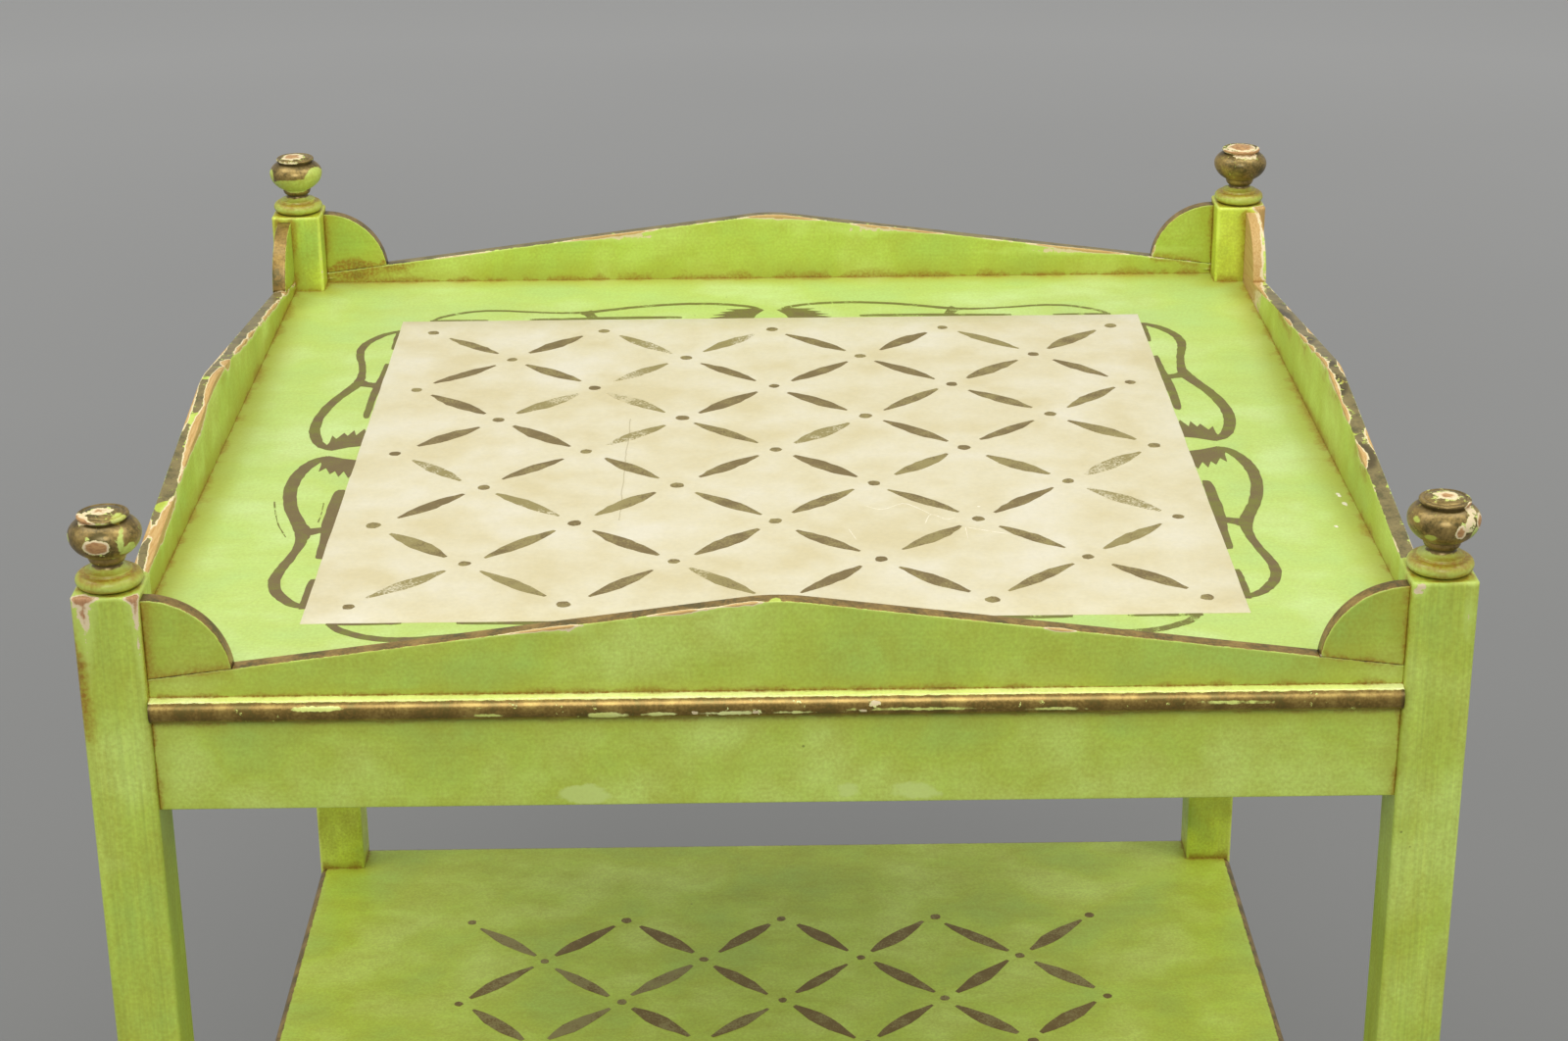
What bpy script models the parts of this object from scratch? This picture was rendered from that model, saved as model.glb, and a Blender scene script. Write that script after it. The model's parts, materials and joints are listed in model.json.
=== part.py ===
"""Three-tier side table with a gabled gallery round its top tier.

Lengths are in metres. The origin is on the floor under the table's middle, +Z is up and the front
faces -Y. The four sides are alike, and so are the four corners: each side's pieces are modelled as
the front's and each corner's as the front left one's, and an empty turns them into place.
"""
import math

import bmesh
import bpy

# The whole frame
FRAME_SIDE = 0.457        # outer face of one leg to outer face of the next, both ways
LOWEST_TIER = 0.113       # floor to the bottom shelf's surface
TIER_PITCH = 0.303        # one tier's surface to the next tier's surface
LEG_ABOVE_TRAY = 0.0354   # tray surface to the legs' tops
SEAT_GAP = 0.0003         # clearance where one piece seats on another
OVERRUN = 0.004           # how far a cutter passes the face that it opens

# Legs
LEG_STOCK = 0.0222        # side of the square stock
LEG_EDGE = 0.0018         # radius along the leg's four edges
LEG_END_EASE = 0.0006     # small chamfer round both ends
LEG_EDGE_STEPS = 3

# Side boards: gallery and apron in one board
BOARD_THICKNESS = 0.006
BOARD_INSET = 0.003       # outer face behind the legs' outer faces
APRON_DROP = 0.0434       # tray surface down to the board's lower edge
SHOULDER_RISE = 0.0048    # tray surface up to the board's top edge where it meets a leg
GABLE_RISE = 0.0309       # tray surface up to the point where the two slopes would meet
GABLE_ROUND = 0.010       # half of the length that is rounded off at the gable's point
GABLE_STEPS = 6
TENON_THICKNESS = 0.004
TENON_LENGTH = 0.008
TENON_SHOULDER = 0.005    # shoulder above and below each tenon

# Quarter-round ears on the boards' shoulders
EAR_RADIUS = 0.028
EAR_BELOW_LEG_TOP = 0.0024
EAR_STEPS = 14

# Half-round bead along each apron
BEAD_RADIUS = 0.0045
BEAD_BELOW_TRAY = 0.0062  # tray surface down to the bead's middle line
BEAD_STEPS = 10

# Tray board and the cleats that carry it
TRAY_THICKNESS = 0.0095
CLEAT_WIDTH = 0.010
CLEAT_HEIGHT = 0.012

# Open shelves
SHELF_NAMES = ("bottom_shelf", "middle_shelf")
SHELF_THICKNESS = 0.0095
SHELF_EDGE_STEPS = 8
HOUSING_DEPTH = 0.0032    # how far a shelf is let into each leg
HOUSING_STOP = 0.006      # wood left between a housing's end and the leg's outer face

# Turned finials, from the foot up
SPIGOT_RADIUS = 0.004
SPIGOT_LENGTH = 0.012
FOOT_RADIUS = 0.0111
FOOT_HEIGHT = 0.0048
FILLET_RADIUS = 0.0079
FILLET_HEIGHT = 0.001
NECK_RADIUS = 0.0047
COVE_HEIGHT = 0.0022
CUP_RADIUS = 0.0064
CUP_HEIGHT = 0.0028
BALL_RADIUS = 0.012
BALL_LOWER_HALF = 0.0088  # half height of the ball's lower ellipse
BALL_UPPER_HALF = 0.0068  # half height of its upper ellipse
BALL_FOOT_RADIUS = 0.0066
GROOVE_RADIUS = 0.0078
GROOVE_HEIGHT = 0.0004
SHOULDER_RADIUS = 0.0082
CAP_RADIUS = 0.0086
CAP_HEIGHT = 0.0017
DOME_RADIUS = 0.0067
DOME_HEIGHT = 0.0011
CHANNEL_DEPTH = 0.0003    # shallow channel between the cap's lip and its dome
TURNING_STEPS = 24
CURVE_STEPS = 4
SCREW_MERGE = 0.00002

# Levels and lines that the pieces share
TRAY_SURFACE = LOWEST_TIER + len(SHELF_NAMES) * TIER_PITCH
LEG_TOP = TRAY_SURFACE + LEG_ABOVE_TRAY
HALF_SIDE = FRAME_SIDE / 2
LEG_CENTRE = HALF_SIDE - LEG_STOCK / 2
LEG_FACE = HALF_SIDE - LEG_STOCK              # inner faces of the legs
BOARD_OUTSIDE = HALF_SIDE - BOARD_INSET
BOARD_INSIDE = BOARD_OUTSIDE - BOARD_THICKNESS
BOARD_BOTTOM = TRAY_SURFACE - APRON_DROP
BOARD_SHOULDER = TRAY_SURFACE + SHOULDER_RISE
GABLE_SLOPE = (GABLE_RISE - SHOULDER_RISE) / LEG_FACE
TENON_BOTTOM = BOARD_BOTTOM + TENON_SHOULDER
TENON_TOP = BOARD_SHOULDER - TENON_SHOULDER
TENON_LINE = BOARD_INSET + BOARD_THICKNESS / 2  # tenon's middle behind the leg's outer face

# Where each side and corner is, in quarter turns anticlockwise from the front and the front left
SIDES = {"front": 0, "right": 1, "back": 2, "left": 3}
SIDE_ENDS = {
    "front": ("left", "right"),
    "right": ("front", "back"),
    "back": ("right", "left"),
    "left": ("back", "front"),
}
CORNERS = {"front_left": 0, "front_right": 1, "back_right": 2, "back_left": 3}
QUADRANTS = ((1, 1), (-1, 1), (-1, -1), (1, -1))

# Finishes: colour, roughness, metallic
GREEN_PAINT = ((0.34, 0.47, 0.06, 1), 0.45, 0)
GREEN_TOP_PAINT = ((0.42, 0.60, 0.10, 1), 0.42, 0)
BRONZE_PAINT = ((0.24, 0.16, 0.06, 1), 0.42, 0.3)
BARE_WOOD = ((0.42, 0.26, 0.12, 1), 0.7, 0)


def clear_scene():
    """Remove whatever the file holds."""
    for item in list(bpy.data.objects):
        bpy.data.objects.remove(item, do_unlink=True)


def give_finish(piece, finish):
    """Give a piece its own material."""
    colour, roughness, metallic = finish
    material = bpy.data.materials.new(piece.name + "_finish")
    material.use_nodes = True
    shader = material.node_tree.nodes["Principled BSDF"]
    shader.inputs["Base Color"].default_value = colour
    shader.inputs["Roughness"].default_value = roughness
    shader.inputs["Metallic"].default_value = metallic
    material.diffuse_color = colour
    piece.data.materials.append(material)


def add_object(name, data, parent=None, location=(0, 0, 0)):
    """Put mesh data, or an empty, in the scene."""
    item = bpy.data.objects.new(name, data)
    bpy.context.scene.collection.objects.link(item)
    item.parent = parent
    item.location = location
    return item


def shade_round(mesh):
    """Shade a mesh smooth except across its sharp edges."""
    mesh.shade_smooth()
    mesh.set_sharp_from_angle(angle=math.radians(35))


def loft(name, rings):
    """Mesh of a closed solid through rings that have the same number of points."""
    shape = bmesh.new()
    rows = [[shape.verts.new(point) for point in ring] for ring in rings]
    for lower, upper in zip(rows, rows[1:]):
        for i, (a, b) in enumerate(zip(lower, upper)):
            j = (i + 1) % len(lower)
            shape.faces.new((a, lower[j], upper[j], b))
    shape.faces.new(rows[0][::-1])
    shape.faces.new(rows[-1])
    bmesh.ops.recalc_face_normals(shape, faces=shape.faces[:])
    mesh = bpy.data.meshes.new(name)
    shape.to_mesh(mesh)
    shape.free()
    return mesh


def box(name, low, high):
    """Mesh of a box between two corners."""
    outline = [(low[0], low[1]), (high[0], low[1]), (high[0], high[1]), (low[0], high[1])]
    return loft(name, [[(x, y, z) for x, y in outline] for z in (low[2], high[2])])


def upright_prism(name, outline, low, high):
    """Mesh of an (x, y) outline between two heights."""
    return loft(name, [[(x, y, z) for x, y in outline] for z in (low, high)])


def board_prism(name, outline, front, back):
    """Mesh of an (x, z) outline between two depths."""
    return loft(name, [[(x, y, z) for x, z in outline] for y in (front, back)])


def ellipse(centre, half_sizes, start, end, steps):
    """Points on an elliptical arc, with its angles in degrees."""
    points = []
    for i in range(steps + 1):
        angle = math.radians(start + (end - start) * i / steps)
        points.append((centre[0] + half_sizes[0] * math.cos(angle),
                       centre[1] + half_sizes[1] * math.sin(angle)))
    return points


def combine(target, tool, operation):
    """Cut a piece with a hidden tool, or join the tool to it."""
    tool.parent = target
    tool.hide_render = True
    tool.display_type = "WIRE"
    step = target.modifiers.new(tool.name, "BOOLEAN")
    step.operation = operation
    step.solver = "EXACT"
    step.object = tool


def rounded_square(half, radius):
    """Outline of a square with rounded corners."""
    points = []
    for i, (x, y) in enumerate(QUADRANTS):
        corner = (x * (half - radius), y * (half - radius))
        points += ellipse(corner, (radius, radius), i * 90, i * 90 + 90, LEG_EDGE_STEPS)
    return points


def leg_mesh(name):
    """Square leg with eased edges, standing on its own origin."""
    full = rounded_square(LEG_STOCK / 2, LEG_EDGE)
    eased = rounded_square(LEG_STOCK / 2 - LEG_END_EASE, LEG_EDGE - LEG_END_EASE)
    levels = ((eased, 0), (full, LEG_END_EASE), (full, LEG_TOP - LEG_END_EASE), (eased, LEG_TOP))
    return loft(name, [[(x, y, level) for x, y in outline] for outline, level in levels])


def mortises():
    """Cutters for the tenons of the boards that run to a leg's right and behind it."""
    face = LEG_STOCK / 2
    line = TENON_LINE - face
    side = TENON_THICKNESS / 2 + SEAT_GAP
    near = (face - TENON_LENGTH - SEAT_GAP, line - side)
    far = (face + OVERRUN, line + side)
    levels = (TENON_BOTTOM - SEAT_GAP, TENON_TOP + SEAT_GAP)
    right = box("mortise", (*near, levels[0]), (*far, levels[1]))
    behind = box("mortise", (*near[::-1], levels[0]), (*far[::-1], levels[1]))
    return {"right": right, "behind": behind}


def housing(name, surface):
    """Cutter for a shelf's stopped housing, in the leg's two inner faces."""
    face = LEG_STOCK / 2
    stop = HOUSING_STOP - face
    bed = face - HOUSING_DEPTH
    far = face + OVERRUN
    outline = [(stop, far), (stop, bed), (bed, bed), (bed, stop), (far, stop), (far, far)]
    return upright_prism(name, outline, surface - SHELF_THICKNESS - SEAT_GAP, surface + SEAT_GAP)


def bore(name):
    """Cutter for the finial's spigot."""
    radius = SPIGOT_RADIUS + SEAT_GAP
    outline = ellipse((0, 0), (radius, radius), 0, 360, TURNING_STEPS)[:-1]
    return upright_prism(name, outline, LEG_TOP - SPIGOT_LENGTH - SEAT_GAP, LEG_TOP + OVERRUN)


def build_leg(corner, holder):
    """One leg with its mortises, shelf housings and bore."""
    mesh = leg_mesh("leg_" + corner)
    shade_round(mesh)
    leg = add_object("leg_" + corner, mesh, holder, (-LEG_CENTRE, -LEG_CENTRE, 0))
    give_finish(leg, GREEN_PAINT)
    for way, cutter in mortises().items():
        combine(leg, add_object("mortise_" + way + "_" + corner, cutter), "DIFFERENCE")
    for i, shelf in enumerate(SHELF_NAMES):
        name = "housing_" + shelf + "_" + corner
        combine(leg, add_object(name, housing(name, LOWEST_TIER + i * TIER_PITCH)), "DIFFERENCE")
    combine(leg, add_object("bore_" + corner, bore("bore")), "DIFFERENCE")
    return leg


def finial_profile():
    """Radius and height of the turning, from the spigot's end up to the top of the dome."""
    half_foot = FOOT_HEIGHT / 2
    foot = (FOOT_RADIUS - half_foot, half_foot)
    points = [(0, -SPIGOT_LENGTH), (SPIGOT_RADIUS, -SPIGOT_LENGTH), (SPIGOT_RADIUS, 0)]
    points += ellipse(foot, (half_foot, half_foot), -90, 90, CURVE_STEPS * 2)
    level = FOOT_HEIGHT
    points += [(FILLET_RADIUS, level), (FILLET_RADIUS, level + FILLET_HEIGHT)]
    level += FILLET_HEIGHT + COVE_HEIGHT
    cove = (FILLET_RADIUS - NECK_RADIUS, COVE_HEIGHT)
    points += ellipse((FILLET_RADIUS, level), cove, -90, -180, CURVE_STEPS)[1:]
    level += CUP_HEIGHT
    cup = (CUP_RADIUS - NECK_RADIUS, CUP_HEIGHT)
    points += ellipse((NECK_RADIUS, level), cup, -90, 0, CURVE_STEPS)[1:]
    start = math.degrees(math.acos(BALL_FOOT_RADIUS / BALL_RADIUS))
    level += BALL_LOWER_HALF * math.sin(math.radians(start))
    points += ellipse((0, level), (BALL_RADIUS, BALL_LOWER_HALF), -start, 0, CURVE_STEPS)
    end = math.degrees(math.acos(SHOULDER_RADIUS / BALL_RADIUS))
    points += ellipse((0, level), (BALL_RADIUS, BALL_UPPER_HALF), 0, end, CURVE_STEPS)[1:]
    level += BALL_UPPER_HALF * math.sin(math.radians(end))
    points += [(GROOVE_RADIUS, level), (GROOVE_RADIUS, level + GROOVE_HEIGHT)]
    level += GROOVE_HEIGHT
    half_cap = CAP_HEIGHT / 2
    cap = (CAP_RADIUS - half_cap, level + half_cap)
    points += ellipse(cap, (half_cap, half_cap), -90, 90, CURVE_STEPS)[1:]
    level += CAP_HEIGHT - CHANNEL_DEPTH
    points += ellipse((0, level), (DOME_RADIUS, DOME_HEIGHT), 0, 90, CURVE_STEPS)
    points[-1] = (0, level + DOME_HEIGHT)
    return points


def build_finial(corner, holder):
    """One turned finial, its spigot in the leg's bore."""
    mesh = bpy.data.meshes.new("finial_" + corner)
    points = [(radius, 0, height) for radius, height in reversed(finial_profile())]
    edges = [(i, i + 1) for i in range(len(points) - 1)]
    mesh.from_pydata(points, edges, [])
    finial = add_object("finial_" + corner, mesh, holder, (-LEG_CENTRE, -LEG_CENTRE, LEG_TOP + SEAT_GAP))
    turning = finial.modifiers.new("turning", "SCREW")
    turning.angle = math.radians(360)
    turning.steps = TURNING_STEPS
    turning.render_steps = TURNING_STEPS
    turning.use_merge_vertices = True
    turning.merge_threshold = SCREW_MERGE
    turning.use_smooth_shade = True
    give_finish(finial, BRONZE_PAINT)
    return finial


def gable_outline():
    """Front outline of a side board, between the legs."""
    end = LEG_FACE - SEAT_GAP
    end_top = TRAY_SURFACE + GABLE_RISE - GABLE_SLOPE * end
    outline = [(-end, BOARD_BOTTOM), (end, BOARD_BOTTOM), (end, end_top)]
    angle = math.atan(GABLE_SLOPE)
    radius = GABLE_ROUND / math.sin(angle)
    centre = TRAY_SURFACE + GABLE_RISE - radius / math.cos(angle)
    swing = math.degrees(angle)
    outline += ellipse((0, centre), (radius, radius), 90 - swing, 90 + swing, GABLE_STEPS)
    outline.append((-end, end_top))
    return outline


def build_board(side, holder):
    """One side board with a tenon at each end."""
    name = "side_board_" + side
    mesh = board_prism(name, gable_outline(), -BOARD_OUTSIDE, -BOARD_INSIDE)
    board = add_object(name, mesh, holder)
    give_finish(board, GREEN_PAINT)
    middle = -HALF_SIDE + TENON_LINE
    for end, sign in zip(SIDE_ENDS[side], (-1, 1)):
        reach = sorted((sign * (LEG_FACE - OVERRUN), sign * (LEG_FACE + TENON_LENGTH)))
        low = (reach[0], middle - TENON_THICKNESS / 2, TENON_BOTTOM)
        high = (reach[1], middle + TENON_THICKNESS / 2, TENON_TOP)
        tenon = add_object("tenon_" + side + "_" + end, box("tenon", low, high))
        combine(board, tenon, "UNION")
    return board


def ear_outline():
    """Quarter round on a board's slope: distance from the leg's face, and height."""
    centre = LEG_TOP - EAR_BELOW_LEG_TOP - EAR_RADIUS
    seat = BOARD_SHOULDER + SEAT_GAP
    above = seat - centre
    a = 1 + GABLE_SLOPE ** 2
    b = 2 * GABLE_SLOPE * above
    c = above ** 2 - EAR_RADIUS ** 2
    tip = (-b + math.sqrt(b * b - 4 * a * c)) / (2 * a)
    start = math.degrees(math.asin((above + GABLE_SLOPE * tip) / EAR_RADIUS))
    outline = [(SEAT_GAP, seat + GABLE_SLOPE * SEAT_GAP)]
    outline += ellipse((0, centre), (EAR_RADIUS, EAR_RADIUS), start, 90, EAR_STEPS)[:-1]
    outline.append((SEAT_GAP, centre + EAR_RADIUS))
    return outline


def build_ears(side, holder):
    """The two ears that stand on one board, one against each leg."""
    ears = []
    for end, sign in zip(SIDE_ENDS[side], (-1, 1)):
        name = "ear_" + side + "_" + end
        outline = [(sign * (LEG_FACE - x), z) for x, z in ear_outline()]
        mesh = board_prism(name, outline, -BOARD_OUTSIDE, -BOARD_INSIDE)
        shade_round(mesh)
        ear = add_object(name, mesh, holder)
        give_finish(ear, GREEN_PAINT)
        ears.append(ear)
    return ears


def build_bead(side, holder):
    """Half-round bead along a board's outer face."""
    name = "bead_" + side
    end = LEG_FACE - SEAT_GAP
    centre = (-BOARD_OUTSIDE - SEAT_GAP, TRAY_SURFACE - BEAD_BELOW_TRAY)
    section = ellipse(centre, (BEAD_RADIUS, BEAD_RADIUS), 90, 270, BEAD_STEPS)
    mesh = loft(name, [[(x, y, z) for y, z in section] for x in (-end, end)])
    shade_round(mesh)
    bead = add_object(name, mesh, holder)
    give_finish(bead, BRONZE_PAINT)
    return bead


def build_cleat(side, holder):
    """Cleat along a board's inner face, under the tray board."""
    name = "tray_cleat_" + side
    end = LEG_FACE - SEAT_GAP
    front = -BOARD_INSIDE + SEAT_GAP
    top = TRAY_SURFACE - TRAY_THICKNESS - SEAT_GAP
    mesh = box(name, (-end, front, top - CLEAT_HEIGHT), (end, front + CLEAT_WIDTH, top))
    cleat = add_object(name, mesh, holder)
    give_finish(cleat, BARE_WOOD)
    return cleat


def build_tray_board():
    """Board of the top tier, between the side boards and notched round the legs."""
    edge = BOARD_INSIDE - SEAT_GAP
    notch = LEG_FACE - SEAT_GAP
    outline = []
    for x, y in QUADRANTS:
        corner = [(x * edge, y * notch), (x * notch, y * notch), (x * notch, y * edge)]
        outline += corner if x == y else corner[::-1]
    mesh = upright_prism("tray_board", outline, TRAY_SURFACE - TRAY_THICKNESS, TRAY_SURFACE)
    board = add_object("tray_board", mesh)
    give_finish(board, GREEN_TOP_PAINT)
    return board


def notch_outline():
    """What a shelf's front left corner loses to the leg, its two tongues left standing."""
    far = HALF_SIDE + OVERRUN
    face = LEG_FACE - SEAT_GAP
    bed = LEG_FACE + HOUSING_DEPTH - SEAT_GAP
    tongue = HALF_SIDE - HOUSING_STOP - SEAT_GAP
    steps = [(far, far), (far, face), (tongue, face), (tongue, bed), (bed, bed), (bed, tongue),
             (face, tongue), (face, far)]
    return [(-x, -y) for x, y in steps]


def build_shelf(name, surface):
    """Shelf with a rounded edge all round, let into the four legs."""
    half_thickness = SHELF_THICKNESS / 2
    middle = surface - half_thickness
    rings = []
    for inset, level in ellipse((0, middle), (half_thickness, half_thickness), -90, 90, SHELF_EDGE_STEPS):
        edge = HALF_SIDE - half_thickness + inset
        rings.append([(x * edge, y * edge, level) for x, y in QUADRANTS])
    mesh = loft(name, rings)
    shade_round(mesh)
    shelf = add_object(name, mesh)
    give_finish(shelf, GREEN_PAINT)
    low = surface - SHELF_THICKNESS - OVERRUN
    for corner, turns in CORNERS.items():
        notch = add_object("notch_" + name + "_" + corner,
                           upright_prism("notch", notch_outline(), low, surface + OVERRUN))
        notch.rotation_euler.z = math.radians(90 * turns)
        combine(shelf, notch, "DIFFERENCE")
    return shelf


def main():
    """Build the table."""
    clear_scene()
    for corner, turns in CORNERS.items():
        holder = add_object("corner_" + corner, None)
        holder.rotation_euler.z = math.radians(90 * turns)
        build_leg(corner, holder)
        build_finial(corner, holder)
    for side, turns in SIDES.items():
        holder = add_object("side_" + side, None)
        holder.rotation_euler.z = math.radians(90 * turns)
        build_board(side, holder)
        build_ears(side, holder)
        build_bead(side, holder)
        build_cleat(side, holder)
    build_tray_board()
    for i, name in enumerate(SHELF_NAMES):
        build_shelf(name, LOWEST_TIER + i * TIER_PITCH)


main()
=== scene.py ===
"""Looks of the three-tier side table: painted and antiqued surfaces, stencils, wear and the studio.

Lengths are in metres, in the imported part's own frame: the origin is on the floor under the table's
middle, +Z is up and the front faces -Y. Each side's pieces are modelled as the front's and each
corner's as the front left one's, and turned into place, so a piece's own coordinates say how far
it is from its joints, and the world's give every piece its own clouds and chips.
"""

import json
import logging
import math
import random
from collections.abc import Callable, Sequence
from dataclasses import dataclass, field, replace
from enum import Enum

import bmesh
import bpy
from mathutils import Matrix, Vector, noise

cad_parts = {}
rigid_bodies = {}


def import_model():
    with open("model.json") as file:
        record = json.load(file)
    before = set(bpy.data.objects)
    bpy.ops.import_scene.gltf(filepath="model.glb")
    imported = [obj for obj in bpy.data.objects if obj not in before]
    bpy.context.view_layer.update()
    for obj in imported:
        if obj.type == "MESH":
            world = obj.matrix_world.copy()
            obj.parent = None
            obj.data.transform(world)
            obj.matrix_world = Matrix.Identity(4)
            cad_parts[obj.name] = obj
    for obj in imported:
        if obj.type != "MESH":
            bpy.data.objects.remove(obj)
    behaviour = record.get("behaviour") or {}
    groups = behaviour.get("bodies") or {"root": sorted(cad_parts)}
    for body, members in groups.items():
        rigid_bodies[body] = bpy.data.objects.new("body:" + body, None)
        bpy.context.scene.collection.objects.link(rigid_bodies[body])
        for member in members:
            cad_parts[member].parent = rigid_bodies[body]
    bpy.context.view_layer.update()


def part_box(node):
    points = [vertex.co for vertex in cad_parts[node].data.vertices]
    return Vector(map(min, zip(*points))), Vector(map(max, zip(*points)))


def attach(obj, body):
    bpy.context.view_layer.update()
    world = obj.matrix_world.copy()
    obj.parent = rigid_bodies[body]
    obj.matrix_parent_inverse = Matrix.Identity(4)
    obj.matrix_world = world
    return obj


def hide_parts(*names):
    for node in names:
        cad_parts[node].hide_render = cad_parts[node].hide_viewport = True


MM = 0.001
BODY = "root"
LOG = logging.getLogger("side_table")

# Marks that each mesh carries for its paint
WORN = "worn"          # how deep hands wore an edge, before the wear breaks up along it
SEAM = "seam_mm"       # distance to the nearest joint, where the glaze gathers, in millimetres
GILT = "gilt_mm"       # distance inside the bronze paint's outline, negative outside it
RUB = "rub"            # how far a spot is rubbed through: 0.5 reaches gesso, 0.65 reaches wood
TOUCH = "touch"        # where the green was touched up with a paler one
DRY = "dry"            # how thin the stencil brush left the bronze
FAR = 30.0             # a distance mark's value where there is no joint or bronze near
GESSO_DEPTH = 0.5
RING_DEPTH = 0.15      # between gesso and wood

# A colour mixing node's inputs and output
FACTOR = 0
UNDER = 6
OVER = 7
MIXED = 2

Point = tuple[float, float, float]
Flat = tuple[float, float]
Socket = bpy.types.NodeSocket


def linear(hex_colour: str) -> tuple[float, float, float, float]:
    """Turn an sRGB hex colour to the linear colour that shaders take.

    Args:
        hex_colour: the colour, such as "#a0b347".

    Returns:
        Linear red, green, blue and full alpha.
    """
    parts = [int(hex_colour[i:i + 2], 16) / 255 for i in (1, 3, 5)]
    red, green, blue = (c / 12.92 if c <= 0.04045 else ((c + 0.055) / 1.055) ** 2.4 for c in parts)
    return red, green, blue, 1.0


class Part(Enum):
    """A part of the table that comes four times, in quarter turns."""

    @property
    def label(self) -> str:
        """Name that the part's nodes carry."""
        return self.name.lower()


class Side(Part):
    """The four sides, in quarter turns from the front."""

    FRONT = 0
    RIGHT = 1
    BACK = 2
    LEFT = 3

    @property
    def ends(self) -> tuple[str, str]:
        """Names of what lies at the side's left and right ends, seen from outside."""
        others = [Side((self.value + step) % len(Side)).label for step in (-1, 1)]
        return others[0], others[1]


class Corner(Part):
    """The four corners, in quarter turns from the front left."""

    FRONT_LEFT = 0
    FRONT_RIGHT = 1
    BACK_RIGHT = 2
    BACK_LEFT = 3

    @property
    def signs(self) -> tuple[int, int]:
        """Which way the corner lies from the table's middle, along X and Y."""
        return (1 if self.name.endswith("RIGHT") else -1), (1 if self.name.startswith("BACK") else -1)


class Brush(Enum):
    """Which way a piece was brushed: the stretch of its brush marks along X, Y and Z."""

    ALONG_X = (1, 40, 40)
    ALONG_Y = (40, 1, 40)
    ALONG_Z = (40, 40, 1)
    ROUND = (14, 14, 40)


@dataclass(frozen=True)
class Wiring:
    """A material's node tree, to which nodes are added one at a time."""

    tree: bpy.types.NodeTree

    def feed(self, node: bpy.types.Node, inputs: dict) -> None:
        """Link or set a node's inputs.

        Args:
            node: the node.
            inputs: sockets by name or number, each with the socket that feeds it, its value or an
                sRGB hex colour.
        """
        for name, value in inputs.items():
            if isinstance(value, Socket):
                self.tree.links.new(value, node.inputs[name])
            else:
                node.inputs[name].default_value = linear(value) if isinstance(value, str) else value

    def add(self, kind: str, inputs: dict | None = None, output: int | str = 0,
            **settings: object) -> Socket:
        """Add a node with its settings and links.

        Args:
            kind: the node's type, without its ShaderNode prefix.
            inputs: what feeds its sockets, as feed takes it.
            output: the output socket that is handed on.
            **settings: the node's own settings; stops is a colour ramp's list of place and colour.

        Returns:
            The output socket asked for.
        """
        node = self.tree.nodes.new("ShaderNode" + kind)
        stops = settings.pop("stops", ())
        for name, value in settings.items():
            setattr(node, name, value)
        self.feed(node, inputs or {})
        for i, (place, colour) in enumerate(stops):
            ramp = node.color_ramp.elements
            stop = ramp[i] if i < 2 else ramp.new(place)
            stop.position = place
            stop.color = linear(colour)
        return node.outputs[output]

    def finish(self, inputs: dict) -> None:
        """Feed the material's Principled shader, as feed does."""
        self.feed(self.tree.nodes["Principled BSDF"], inputs)


def new_material(name: str) -> tuple[bpy.types.Material, Wiring]:
    """Start an empty node material.

    Args:
        name: the material's name.

    Returns:
        The material and its wiring.
    """
    material = bpy.data.materials.new(name)
    material.use_nodes = True
    return material, Wiring(material.node_tree)


@dataclass(frozen=True)
class Coat:
    """What one coat hands on to the shader."""

    colour: Socket
    roughness: Socket


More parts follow.
